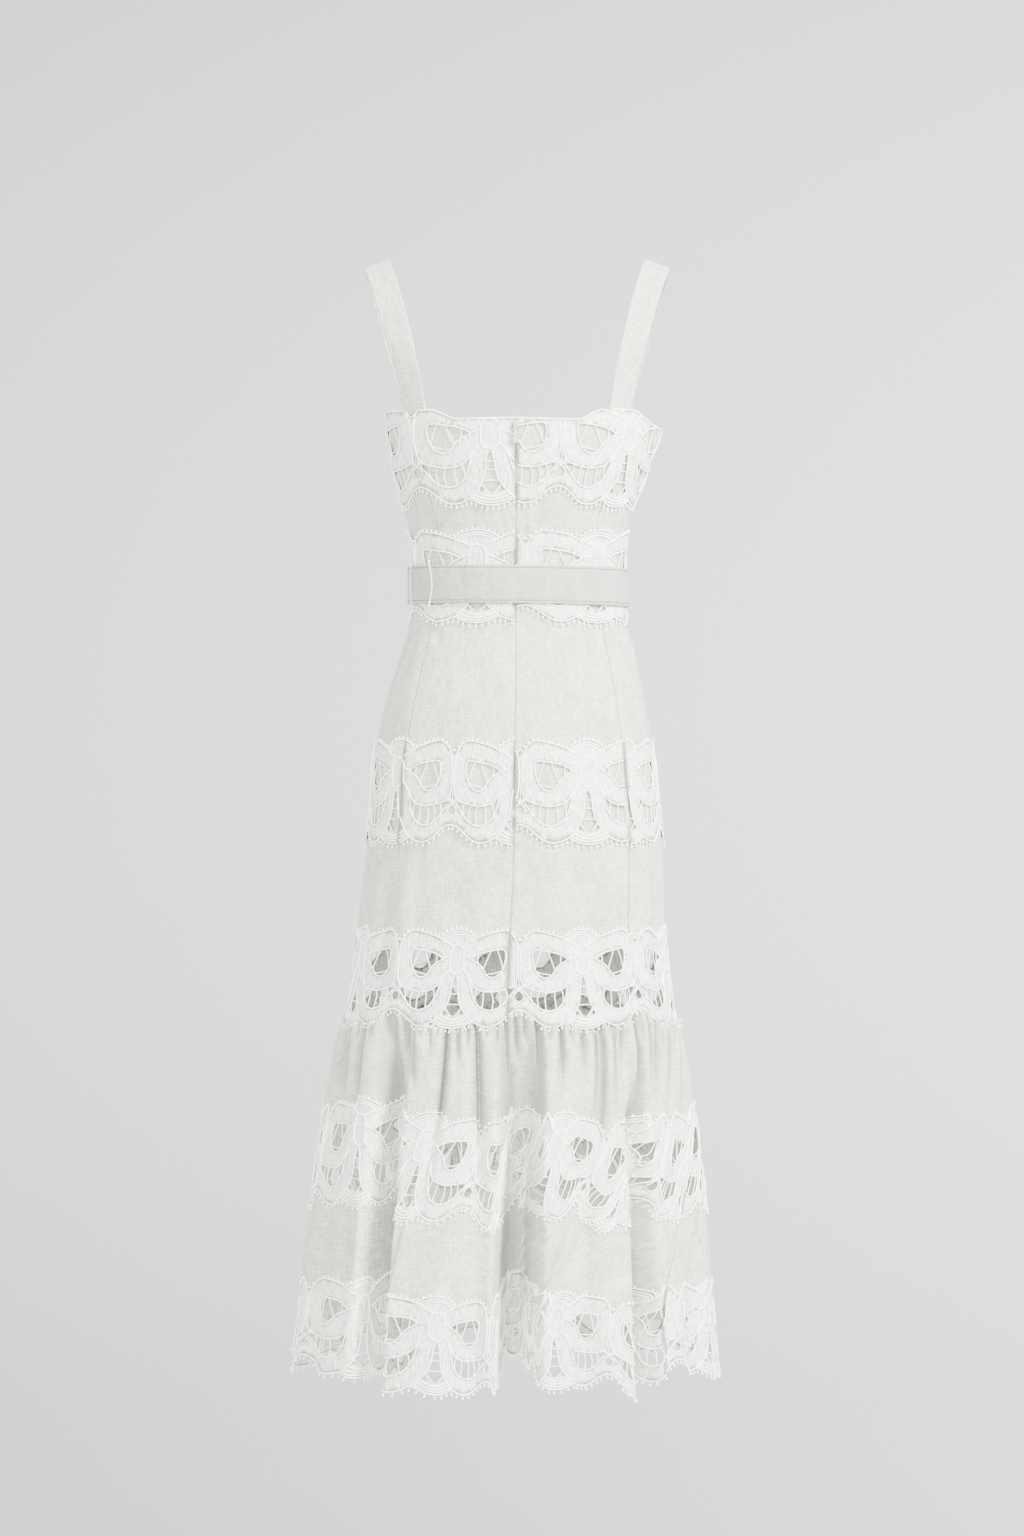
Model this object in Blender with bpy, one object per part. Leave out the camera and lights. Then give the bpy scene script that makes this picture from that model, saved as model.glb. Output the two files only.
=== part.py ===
"""Tiered midi dress, worn form, hollow, in metres. +Z is up, the zipped back faces -Y, +X is its right side.

The origin is midway between the crests of the two shoulder straps, where the wearer holds the dress up.
Tables are in millimetres; "down" is the distance below the origin and "share" is the way round the cloth,
0 at the centre back, 0.25 near the +X side seam, 0.5 at the centre front and 1 back at the centre back.
"""

import math
from collections import namedtuple

import bmesh
import bpy
import numpy as np
from mathutils import Vector
from mathutils.geometry import delaunay_2d_cdt

MM = 0.001
CLOTH = 1.2 * MM
LACE = 1.2 * MM
LACE_STANDOFF = 1.35 * MM
LACE_BELOW_NECK = 0.5
SEAM_GAP = 1.1 * MM
SQUARENESS = 2.2

NECK_DOWN = 175.0
NECK_RISE = 11.0
NECK_SLOPE_REACH = 30.0
NECK_SIDE_FROM, NECK_SIDE_REACH = 124.0, 22.0
NECK_RIGHT_FALL, NECK_LEFT_FALL = 8.0, -5.0
WAIST_DOWN = 354.0
GATHER_DOWN = 815.0
HEM_DOWN = 1219.0

STRAP_HALF_SPAN = 111.0
STRAP_WIDTH = 29.0
STRAP_THICKNESS = 2.0
STRAP_END_GAP = 0.8

KNEE_BOWS = 7
FLOUNCE_BOWS = 14
COLUMNS_PER_BOW = 8
BODICE_COLUMNS = 48

# shift is how far the ring's middle lies towards +X, seam how far the back seam lies from that.
Section = namedtuple("Section", "down half_width back front shift seam")
SECTIONS = [
    Section(150, 147.0, 93, 117, 3.0, -5.5),
    Section(190, 145.2, 96, 121, 5.6, -6.8),
    Section(225, 137.0, 95, 121, 4.2, -5.4),
    Section(262, 126.0, 91, 111, 1.5, -2.7),
    Section(300, 118.2, 84, 98, 1.1, -2.4),
    Section(345, 115.3, 80, 91, 1.4, -2.8),
    Section(385, 117.0, 82, 90, 1.5, -3.0),
    Section(430, 128.9, 92, 95, 1.2, -2.8),
    Section(480, 141.9, 107, 101, -1.7, -0.4),
    Section(540, 152.6, 118, 106, -3.5, 0.8),
    Section(600, 157.6, 122, 108, -2.5, -0.8),
    Section(660, 163.9, 123, 110, -2.9, -1.6),
    Section(730, 169.0, 125, 113, -6.0, -2.0),
    Section(790, 175.4, 131, 120, -6.6, -3.0),
    Section(830, 182.5, 141, 130, -7.6, -2.4),
    Section(870, 192.0, 152, 142, -8.8, -1.5),
    Section(930, 205.5, 166, 156, -9.5, 0.0),
    Section(1000, 215.0, 180, 170, -11.0, 0.0),
    Section(1100, 226.0, 197, 187, -13.5, 0.0),
    Section(1219, 237.0, 212, 200, -15.0, 0.0),
]

# The flounce hangs in lobes; each row is a valley between two lobes, with its sizes at the hem.
Valley = namedtuple("Valley", "turn_deg depth half_width_deg floor lift")
VALLEYS = [
    Valley(-61, 9, 11, 0.0, 0),
    Valley(-36.8, 92, 6.5, 0.25, 10),
    Valley(-6.5, 13, 5, 0.0, 0),
    Valley(3.0, 132, 6.2, 0.35, 28),
    Valley(20.5, 15, 6, 0.0, 0),
    Valley(39.8, 48, 5.2, 0.2, 6),
    Valley(62, 8, 10, 0.0, 0),
    Valley(98, 36, 11, 0.2, 5),
    Valley(128, 22, 11, 0.1, 3),
    Valley(156, 34, 10, 0.2, 5),
    Valley(188, 38, 11, 0.2, 5),
    Valley(217, 24, 11, 0.1, 3),
    Valley(242, 34, 10, 0.2, 5),
    Valley(270, 26, 10, 0.2, 4),
]

VALLEY_GROWTH = 0.75
HEM_MIX = 1.15
LIFT_GROWTH = 1.5

# The lobes hang at uneven heights: how far each place sags at the flounce lace and at the hem.
Sag = namedtuple("Sag", "turn_deg flounce hem")
SAGS = [
    Sag(-180, 0, -6),
    Sag(-110, 0, -6),
    Sag(-75, 0, -10),
    Sag(-60, -8, -13),
    Sag(-51, -17, -14),
    Sag(-39, -14, -12),
    Sag(-31.5, 0, 0),
    Sag(-22, 0, -5),
    Sag(-8, 8, 0),
    Sag(-1.5, 12, 3),
    Sag(3, 4, 0),
    Sag(8.5, 2, -10),
    Sag(19, -2, -9),
    Sag(27, 17, -3),
    Sag(35, 12, 9),
    Sag(41, 4, 0),
    Sag(46.5, 7, -14),
    Sag(60, 9, -14),
    Sag(80, 0, -3),
    Sag(110, 0, 0),
    Sag(180, 0, -6),
]
SAG_FULL_DOWN = 960.0

# Small uneven gathers at the ruffle seam, one crest for every two columns of the flounce.
GATHER_DEPTH = 6.2
GATHER_FULL_DOWN = 840.0
GATHER_FADE_DOWN = 935.0

# Lace bands: down is that of the motif's top line. The joins between the bows are whole bows from a share.
Band = namedtuple("Band", "down height")
KNEE_JOIN_SHARE = 0.0122
LEFT_SEAM_SHARE, RIGHT_SEAM_SHARE = -0.1485, 0.149
HEM_JOIN_TURN = math.radians(-3.9)
BAND_KNEE = Band(727, 106)
BAND_FLOUNCE = Band(921, 116)
BAND_HEM = Band(1114, 105)
# The bands that lie on the bodice and the skirt are pieced, each piece with its own place in the repeat:
# bows is how many would go right round, share_0 where a join between two of them falls.
LinedPiece = namedtuple("LinedPiece", "band part first_share last_share bows share_0")
LINED_BANDS = {
    "lace_top": Band(158.0, 111.0),
    "lace_waist": Band(294.5, 102.0),
    "lace_hip": Band(523.0, 113.0),
}
LINED_PIECES = [
    LinedPiece("lace_top", "back_left", -0.25, 0.0, 4.45, -0.1464),
    LinedPiece("lace_top", "back_right", 0.0, 0.25, 5.1, 0.0604),
    LinedPiece("lace_top", "front", 0.25, 0.75, 5.0, 0.5),
    LinedPiece("lace_waist", "back_left", -0.25, 0.0, 3.9, -0.1927),
    LinedPiece("lace_waist", "back_right", 0.0, 0.25, 4.07, 0.0151),
    LinedPiece("lace_waist", "front", 0.25, 0.75, 4.0, 0.5),
    LinedPiece("lace_hip", "side_left", -0.25, LEFT_SEAM_SHARE, 6.4, -0.235),
    LinedPiece("lace_hip", "centre_back_left", LEFT_SEAM_SHARE, 0.0, 6.37, -0.077),
    LinedPiece("lace_hip", "centre_back_right", 0.0, RIGHT_SEAM_SHARE, 5.8, 0.0068),
    LinedPiece("lace_hip", "side_right", RIGHT_SEAM_SHARE, 0.25, 6.2, 0.2277),
    LinedPiece("lace_hip", "front", 0.25, 0.75, 6.0, 0.5),
]
BODY_ROWS = (190.0, 225.0, 262.0, 300.0, 330.0, 354.0, 385.0, 430.0, 480.0, 540.0, 600.0, 660.0)
RUFFLE_ROWS = (866.0,)

# The ribbon-bow motif in bow units: across from the knot, one bow is 1 wide; down from the top line, 1 high.
Point = namedtuple("Point", "across down")
TOP_EDGE = [Point(0, 0.0), Point(0.125, 0.085), Point(0.25, 0.03), Point(0.375, 0.0), Point(0.5, 0.105)]
BOTTOM_EDGE = [Point(0, 1.0), Point(0.125, 0.95), Point(0.25, 0.965), Point(0.375, 0.90), Point(0.5, 0.80)]
EYE = [Point(0.125, 0.30), Point(0.25, 0.222), Point(0.375, 0.21), Point(0.375, 0.41), Point(0.27, 0.485)]
CRESCENT = [Point(0.13, 0.59), Point(0.25, 0.64), Point(0.375, 0.612), Point(0.44, 0.60),
            Point(0.375, 0.765), Point(0.23, 0.80)]
TAIL_GAP = [Point(0, 0.52), Point(0.062, 0.84), Point(0, 0.885), Point(-0.062, 0.84)]

BELT_TOP_DOWN = 333.0
BELT_HEIGHT = 41.5
BELT_MIDDLE_DOWN = BELT_TOP_DOWN + BELT_HEIGHT / 2
BELT_THICKNESS = 2.4
BELT_STANDOFF = 4.1
BELT_TILT = 0.012
BELT_COLUMNS = 56

WHITE = (0.83, 0.84, 0.82, 1)
LACE_WHITE = (0.87, 0.87, 0.86, 1)
BELT_WHITE = (0.76, 0.76, 0.73, 1)

TURN_STEP = 0.02
RING_SAMPLES = np.linspace(0, 1, 1441)
LEVEL_STEP = 10.0
LEVELS = np.arange(140.0, 1241.0, LEVEL_STEP)


def material(name, colour, roughness):
    made = bpy.data.materials.new(name)
    made.use_nodes = True
    shader = made.node_tree.nodes["Principled BSDF"]
    shader.inputs["Base Color"].default_value = colour
    shader.inputs["Roughness"].default_value = roughness
    return made


def section_value(field, down):
    """A smooth value of the section table at some heights, by cubic pieces between its rows."""
    knots = np.array([row.down for row in SECTIONS], float)
    values = np.array([getattr(row, field) for row in SECTIONS], float)
    slopes = np.gradient(values, knots)
    down = np.clip(down, knots[0], knots[-1])
    k = np.clip(np.searchsorted(knots, down) - 1, 0, len(knots) - 2)
    step = knots[k + 1] - knots[k]
    t = (down - knots[k]) / step
    rise = values[k + 1] - values[k]
    start, end = slopes[k] * step, slopes[k + 1] * step
    return values[k] + t * start + t**2 * (3 * rise - 2 * start - end) + t**3 * (start + end - 2 * rise)


def signed_power(value):
    return np.sign(value) * np.abs(value) ** (2 / SQUARENESS)


def ring_xy(turn, down):
    """The plain ring in plan, in millimetres; turn is 0 at the centre back and grows towards +X."""
    depth = np.where(np.cos(turn) > 0, section_value("back", down), section_value("front", down))
    x = section_value("shift", down) + section_value("half_width", down) * signed_power(np.sin(turn))
    return x, -depth * signed_power(np.cos(turn))


def ring_normal(turn, down):
    x0, y0 = ring_xy(turn - TURN_STEP, down)
    x1, y1 = ring_xy(turn + TURN_STEP, down)
    length = np.hypot(x1 - x0, y1 - y0)
    return (y1 - y0) / length, -(x1 - x0) / length


def smooth(t):
    t = np.clip(t, 0, 1)
    return t * t * (3 - 2 * t)


def growth(down):
    """How much of a valley's hem depth it has at some heights."""
    return np.clip((down - GATHER_DOWN) / (HEM_DOWN - GATHER_DOWN), 0, None) ** VALLEY_GROWTH


def valleys(turn):
    """How far the lobes' valleys cut in at the hem, and how far they lift it, in millimetres."""
    cut = np.zeros_like(turn)
    lift = np.zeros_like(turn)
    for row in VALLEYS:
        away = (turn - math.radians(row.turn_deg) + math.pi) % (2 * math.pi) - math.pi
        t = 1 - np.abs(away) / math.radians(row.half_width_deg)
        shape = smooth(t / (1 - row.floor))
        cut += row.depth * shape
        lift += row.lift * shape
    return cut, lift


def folded_xy(turn, down, extra=0.0):
    x, y = ring_xy(turn, down)
    nx, ny = ring_normal(turn, down)
    push = extra - valleys(turn)[0] * growth(down)
    return x + nx * push, y + ny * push


def length_table(turn, x, y):
    run = np.concatenate([[0], np.cumsum(np.hypot(np.diff(x), np.diff(y)))])
    return np.interp(RING_SAMPLES, run / run[-1], turn)


def body_turns(down):
    """Turns at even lengths of cloth round the body at one height, from the centre-back seam."""
    aside = section_value("seam", down) / section_value("half_width", down)
    start = np.sign(aside) * np.arcsin(np.abs(aside) ** (SQUARENESS / 2))
    turn = start + RING_SAMPLES * 2 * math.pi
    return length_table(turn, *ring_xy(turn, down))


BODY_TURNS = np.array([body_turns(level) for level in LEVELS])
FINE_TURN = HEM_JOIN_TURN + np.linspace(0, 2 * math.pi, 20001)
HEM_TURNS = length_table(FINE_TURN, *folded_xy(FINE_TURN, HEM_DOWN))


def turn_at(share, down):
    """The turn of a column of cloth, even round the body and by the cloth's own length at the hem."""
    whole = np.floor(share)
    place = (share - whole) * (len(RING_SAMPLES) - 1)
    j = np.clip(place.astype(int), 0, len(RING_SAMPLES) - 2)
    height = np.clip((down - LEVELS[0]) / LEVEL_STEP, 0, len(LEVELS) - 1.001)
    i = height.astype(int)
    s, t = place - j, height - i
    low = BODY_TURNS[i, j] * (1 - s) + BODY_TURNS[i, j + 1] * s
    high = BODY_TURNS[i + 1, j] * (1 - s) + BODY_TURNS[i + 1, j + 1] * s
    body = low * (1 - t) + high * t + 2 * math.pi * whole
    hem_share = share - KNEE_JOIN_SHARE
    hem = np.interp(hem_share % 1.0, RING_SAMPLES, HEM_TURNS) + 2 * math.pi * np.floor(hem_share)
    mix = smooth((down - GATHER_DOWN) / (HEM_DOWN - GATHER_DOWN) * HEM_MIX)
    return body * (1 - mix) + hem * mix


def gathers(share, down):
    column = (share - KNEE_JOIN_SHARE) * FLOUNCE_BOWS * COLUMNS_PER_BOW
    uneven = 0.8 + 0.22 * np.sin(column * 0.71) + 0.12 * np.sin(column * 1.93 + 1)
    fade = smooth((GATHER_FADE_DOWN - down) / (GATHER_FADE_DOWN - GATHER_FULL_DOWN))
    return GATHER_DEPTH * uneven * fade * np.cos(math.pi * column)


def sag(turn, down):
    """How much lower than level the flounce hangs, in millimetres."""
    wrapped = np.degrees((turn + math.pi) % (2 * math.pi) - math.pi)
    places = [row.turn_deg for row in SAGS]
    upper = np.interp(wrapped, places, [row.flounce for row in SAGS])
    lower = np.interp(wrapped, places, [row.hem for row in SAGS])
    t = np.clip((down - SAG_FULL_DOWN) / (HEM_DOWN - SAG_FULL_DOWN), 0, 1)
    begun = smooth((down - GATHER_DOWN) / (SAG_FULL_DOWN - GATHER_DOWN))
    return begun * (upper * (1 - t) + lower * t)


def cloth(share, down, ruffled=False):
    """Points of the cloth's middle surface, in millimetres."""
    turn = turn_at(share, down)
    extra = gathers(share, down) if ruffled else 0.0
    x, y = folded_xy(turn, down, extra)
    lift = valleys(turn)[1] * growth(down) ** LIFT_GROWTH
    return np.stack([x, y, lift - sag(turn, down) - down], axis=-1)


LEAST_MITRE = 0.7


def wall_points(share, down, out, step, ruffled=False):
    """Points moved out of the middle surface along its plan normal, mitred at sharp folds."""
    here = cloth(share, down, ruffled)
    before = here - cloth(share - step, down, ruffled)
    after = cloth(share + step, down, ruffled) - here
    before = before[..., :2] / np.linalg.norm(before[..., :2], axis=-1, keepdims=True)
    after = after[..., :2] / np.linalg.norm(after[..., :2], axis=-1, keepdims=True)
    along = before + after
    length = np.linalg.norm(along, axis=-1, keepdims=True)
    along = along / length
    mitre = 1 / np.clip(length / 2, LEAST_MITRE, 1)
    normal = np.stack([along[..., 1], -along[..., 0]], axis=-1) * mitre
    moved = here.copy()
    moved[..., :2] += normal * out
    return moved


def body_from(name, vertices, faces, skin):
    mesh = bpy.data.meshes.new(name)
    mesh.from_pydata([tuple(v) for v in vertices], [], faces)
    work = bmesh.new()
    work.from_mesh(mesh)
    bmesh.ops.recalc_face_normals(work, faces=work.faces)
    if work.calc_volume(signed=True) < 0:
        bmesh.ops.reverse_faces(work, faces=work.faces)
    work.to_mesh(mesh)
    work.free()
    mesh.materials.append(skin)
    mesh.shade_smooth()
    mesh.set_sharp_from_angle(angle=math.radians(35))
    made = bpy.data.objects.new(name, mesh)
    bpy.context.scene.collection.objects.link(made)
    return made


def inside(polygon, x, y):
    hit = False
    for (x0, y0), (x1, y1) in zip(polygon, polygon[1:] + polygon[:1]):
        if (y0 > y) != (y1 > y) and x < (x1 - x0) * (y - y0) / (y1 - y0) + x0:
            hit = not hit
    return hit


def crossings(polygon, x):
    """Heights where a column line crosses a hole's outline, its own corners too."""
    found = []
    for (x0, y0), (x1, y1) in zip(polygon, polygon[1:] + polygon[:1]):
        if abs(x0 - x) < SAME:
            found.append(y0)
        elif (x0 - x) * (x1 - x) < 0 and abs(x1 - x) >= SAME:
            found.append(y0 + (y1 - y0) * (x - x0) / (x1 - x0))
    return sorted(set(round(y, 5) for y in found))


# A column is this many flat units wide while a piece is triangulated, about its width in millimetres.
COLUMN_UNIT = 17.0
ROW_CLEAR = 4.0
CUT_CLEAR = 3.0
HAIR = 1e-4
SAME = 1e-6


class Piece:
    """One flat-cut piece as columns of points, then triangulated and given its wall."""

    def __init__(self, columns):
        self.columns = columns
        self.points = []
        self.index = {}
        self.edges = set()

    def add(self, x, y):
        key = (round(x, 4), round(y, 4))
        if key not in self.index:
            self.index[key] = len(self.points)
            self.points.append(key)
        return self.index[key]

    def edge(self, a, b):
        if a != b:
            self.edges.add((min(a, b), max(a, b)))

    def build(self, top, bottom, rows, holes):
        xs = [c * COLUMN_UNIT for c in self.columns]
        lines = []
        for c, x in zip(self.columns, xs):
            high, low = top(c), bottom(c)
            stops = [high] + [row for row in rows if high + ROW_CLEAR < row < low - ROW_CLEAR] + [low]
            cut = sorted(y for hole in holes for y in crossings(hole, x))
            stops = [y for y in stops if all(abs(y - other) > CUT_CLEAR for other in cut)] + cut
            marks = [self.add(x, y) for y in sorted(stops)]
            for a, b in zip(marks, marks[1:]):
                middle = (self.points[a][1] + self.points[b][1]) / 2
                sides = (x - HAIR, x + HAIR)
                if not any(all(inside(hole, side, middle) for side in sides) for hole in holes):
                    self.edge(a, b)
            lines.append(marks)
        for left, right in zip(lines, lines[1:]):
            self.edge(left[0], right[0])
            self.edge(left[-1], right[-1])
        for hole in holes:
            self.outline(hole, xs)
        vertices, _, faces, _, _, _ = delaunay_2d_cdt(
            [Vector(p) for p in self.points], list(self.edges), [], 0, SAME
        )
        border = [self.points[line[0]] for line in lines]
        border += [self.points[line[-1]] for line in reversed(lines)]
        kept = []
        for face in faces:
            x = sum(vertices[v].x for v in face) / 3
            y = sum(vertices[v].y for v in face) / 3
            if inside(border, x, y) and not any(inside(hole, x, y) for hole in holes):
                kept.append(tuple(face))
        return [(v.x / COLUMN_UNIT, v.y) for v in vertices], kept

    def outline(self, hole, xs):
        for (x0, y0), (x1, y1) in zip(hole, hole[1:] + hole[:1]):
            stops = [(x0, y0), (x1, y1)]
            for x in xs:
                if (x0 - x) * (x1 - x) < 0 and min(abs(x0 - x), abs(x1 - x)) > SAME:
                    stops.append((x, round(y0 + (y1 - y0) * (x - x0) / (x1 - x0), 5)))
            stops.sort(reverse=x0 > x1)
            if abs(x0 - x1) < SAME:
                stops = [(x0, y0), (x1, y1)]
            marks = [self.add(x, y) for x, y in stops]
            for a, b in zip(marks, marks[1:]):
                self.edge(a, b)


def sewn_piece(name, skin, columns, share_of, top, bottom, inner, outer, rows=(), holes=(), ruffled=False):
    """A wall of cloth between two offsets; columns are in column units and share_of places them."""
    flat, faces = Piece(columns).build(top, bottom, rows, holes)
    line = np.array(columns)
    at = np.array([p[0] for p in flat])
    down = np.array([p[1] for p in flat])
    k = np.clip(np.searchsorted(line, at - 1e-5) - 1, 0, len(line) - 2)
    t = np.clip((at - line[k]) / (line[k + 1] - line[k]), 0, 1)[:, None]
    step = share_of(1) - share_of(0)
    skins = []
    for out in (outer, inner):
        left = wall_points(share_of(line[k]), down, out / MM, step, ruffled)
        right = wall_points(share_of(line[k + 1]), down, out / MM, step, ruffled)
        skins.append((left * (1 - t) + right * t) * MM)
    count = len(flat)
    vertices = np.concatenate(skins)
    uses = {}
    for face in faces:
        for a, b in zip(face, face[1:] + face[:1]):
            uses.setdefault((min(a, b), max(a, b)), []).append((a, b))
    body = [tuple(face) for face in faces] + [tuple(v + count for v in reversed(face)) for face in faces]
    for pairs in uses.values():
        if len(pairs) == 1:
            a, b = pairs[0]
            body += [(b, a, a + count), (b, a + count, b + count)]
    return body_from(name, vertices, body, skin)


def edge_height(band, profile, column):
    """Height of a band's scalloped edge, straight between the columns."""
    def at(whole):
        across = abs((whole / COLUMNS_PER_BOW) % 1.0 - 0.5)
        return np.interp(across, [p.across for p in profile], [p.down for p in profile])

    low = math.floor(column + 1e-9)
    part = column - low
    return band.down + band.height * (at(low) * (1 - part) + at(low + 1) * part)


def mirrored(shape):
    return [Point(-p.across, p.down) for p in shape]


def bow_holes(band, first, last, shapes, top):
    """Outlines of the gaps of every bow between two columns, those that keep clear of the piece's edges."""
    holes = []
    for bow in range(math.floor(first / COLUMNS_PER_BOW) - 1, math.ceil(last / COLUMNS_PER_BOW) + 1):
        for shape in shapes:
            columns = [(bow + 0.5 + p.across) * COLUMNS_PER_BOW for p in shape]
            downs = [band.down + band.height * p.down for p in shape]
            if min(columns) < first + HOLE_TRIM or max(columns) > last - HOLE_TRIM:
                continue
            if all(down > top(column) + HOLE_CLEAR for column, down in zip(columns, downs)):
                holes.append([(column * COLUMN_UNIT, down) for column, down in zip(columns, downs)])
    return holes


HOLE_TRIM = 0.15
HOLE_CLEAR = 3.0
OPEN_GAPS = [EYE, mirrored(EYE), CRESCENT, mirrored(CRESCENT), TAIL_GAP]
LINED_GAPS = [EYE, mirrored(EYE), CRESCENT, mirrored(CRESCENT)]


def column_list(first, last):
    """Whole columns between two ends, and the ends themselves."""
    inner = [float(c) for c in range(math.ceil(first + 0.25), math.floor(last - 0.25) + 1)]
    return [first] + inner + [last]


def neck_height(share):
    """The bodice's top edge, raised at the four strap ends and lower under the right arm than the left."""
    x = float(cloth(np.array([share]), np.array([NECK_DOWN]))[0, 0])
    near = 1 - (abs(abs(x) - STRAP_HALF_SPAN) - STRAP_WIDTH * 0.6) / NECK_SLOPE_REACH
    fall = NECK_RIGHT_FALL if x > 0 else NECK_LEFT_FALL
    aside = smooth((abs(x) - NECK_SIDE_FROM) / NECK_SIDE_REACH)
    return float(NECK_DOWN - NECK_RISE * smooth(near) + fall * aside)


def knee_share(column):
    return KNEE_JOIN_SHARE + column / (KNEE_BOWS * COLUMNS_PER_BOW)


def flounce_share(column):
    return KNEE_JOIN_SHARE + column / (FLOUNCE_BOWS * COLUMNS_PER_BOW)


def bodice_share(column):
    return column / BODICE_COLUMNS


GAP_COLUMNS = 0.012
KNEE_BACK_COLUMN = -KNEE_JOIN_SHARE * KNEE_BOWS * COLUMNS_PER_BOW
LEFT_SEAM_COLUMN = KNEE_BACK_COLUMN + LEFT_SEAM_SHARE * KNEE_BOWS * COLUMNS_PER_BOW
RIGHT_SEAM_COLUMN = KNEE_BACK_COLUMN + RIGHT_SEAM_SHARE * KNEE_BOWS * COLUMNS_PER_BOW
BODICE_SEAM_COLUMN = 6.5
KNEE_SPANS = {
    "back_left": (-14.0, KNEE_BACK_COLUMN),
    "back_right": (KNEE_BACK_COLUMN, 14.0),
    "front": (14.0, 42.0),
}
SKIRT_SPANS = {
    "side_back_left": (-14.0, LEFT_SEAM_COLUMN),
    "centre_back_left": (LEFT_SEAM_COLUMN, KNEE_BACK_COLUMN),
    "centre_back_right": (KNEE_BACK_COLUMN, RIGHT_SEAM_COLUMN),
    "side_back_right": (RIGHT_SEAM_COLUMN, 14.0),
    "front": (14.0, 42.0),
}
BODICE_SPANS = {
    "side_back_left": (-12.0, -BODICE_SEAM_COLUMN),
    "centre_back_left": (-BODICE_SEAM_COLUMN, 0.0),
    "centre_back_right": (0.0, BODICE_SEAM_COLUMN),
    "side_back_right": (BODICE_SEAM_COLUMN, 12.0),
    "front": (12.0, 36.0),
}


def make_bodice(skin):
    for part, (first, last) in BODICE_SPANS.items():
        sewn_piece(
            "bodice_" + part, skin, column_list(first + GAP_COLUMNS, last - GAP_COLUMNS), bodice_share,
            lambda c: neck_height(bodice_share(c)), lambda c: WAIST_DOWN - 0.2,
            -CLOTH / 2, CLOTH / 2, rows=BODY_ROWS,
        )


def make_skirt(skin):
    for part, (first, last) in SKIRT_SPANS.items():
        sewn_piece(
            "skirt_" + part, skin, column_list(first + GAP_COLUMNS, last - GAP_COLUMNS), knee_share,
            lambda c: WAIST_DOWN + 0.2,
            lambda c: edge_height(BAND_KNEE, TOP_EDGE, c) - SEAM_GAP / MM / 2,
            -CLOTH / 2, CLOTH / 2, rows=BODY_ROWS,
        )


def open_band(band, first, last):
    """Both edges of a band that has no lining, its wall's two offsets, its rows and its gaps."""
    def top(column):
        return edge_height(band, TOP_EDGE, column) + SEAM_GAP / MM / 2

    def bottom(column):
        return edge_height(band, BOTTOM_EDGE, column) - SEAM_GAP / MM / 2

    return top, bottom, -LACE / 2, LACE / 2, (), bow_holes(band, first, last, OPEN_GAPS, top)


def make_knee_lace(skin):
    for part, (first, last) in KNEE_SPANS.items():
        sewn_piece(
            "lace_knee_" + part, skin, column_list(first + GAP_COLUMNS, last - GAP_COLUMNS), knee_share,
            *open_band(BAND_KNEE, first, last),
        )


def make_flounce(cloth_skin, lace_skin):
    half = FLOUNCE_BOWS * COLUMNS_PER_BOW / 4
    for part, first, last in (("back", -half, half), ("front", half, 3 * half)):
        columns = column_list(first + GAP_COLUMNS * 2, last - GAP_COLUMNS * 2)
        sewn_piece(
            "flounce_upper_" + part, cloth_skin, columns, flounce_share,
            lambda c: edge_height(BAND_KNEE, BOTTOM_EDGE, c / 2) + SEAM_GAP / MM / 2,
            lambda c: edge_height(BAND_FLOUNCE, TOP_EDGE, c) - SEAM_GAP / MM / 2,
            -CLOTH / 2, CLOTH / 2, rows=RUFFLE_ROWS, ruffled=True,
        )
        sewn_piece(
            "lace_flounce_" + part, lace_skin, columns, flounce_share,
            *open_band(BAND_FLOUNCE, first, last), ruffled=True,
        )
        sewn_piece(
            "flounce_lower_" + part, cloth_skin, columns, flounce_share,
            lambda c: edge_height(BAND_FLOUNCE, BOTTOM_EDGE, c) + SEAM_GAP / MM / 2,
            lambda c: edge_height(BAND_HEM, TOP_EDGE, c) - SEAM_GAP / MM / 2,
            -CLOTH / 2, CLOTH / 2,
        )
        sewn_piece(
            "lace_hem_" + part, lace_skin, columns, flounce_share,
            *open_band(BAND_HEM, first, last),
        )


def make_lined_lace(skin):
    """Bands sewn over the bodice and the skirt, moved out of the cloth that lines them."""
    inner = CLOTH / 2 + LACE_STANDOFF
    for piece in LINED_PIECES:
        band = LINED_BANDS[piece.band]
        per_share = piece.bows * COLUMNS_PER_BOW

        def share_of(column):
            return piece.share_0 + column / per_share

        def top(column):
            edge = edge_height(band, TOP_EDGE, column)
            if band.down > NECK_DOWN:
                return edge
            return max(edge, neck_height(share_of(column)) + LACE_BELOW_NECK)

        first = (piece.first_share - piece.share_0) * per_share + GAP_COLUMNS
        last = (piece.last_share - piece.share_0) * per_share - GAP_COLUMNS
        sewn_piece(
            f"{piece.band}_{piece.part}", skin, column_list(first, last), share_of, top,
            lambda c: edge_height(band, BOTTOM_EDGE, c), inner, inner + LACE, BODY_ROWS,
            bow_holes(band, first, last, LINED_GAPS, top),
        )


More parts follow.
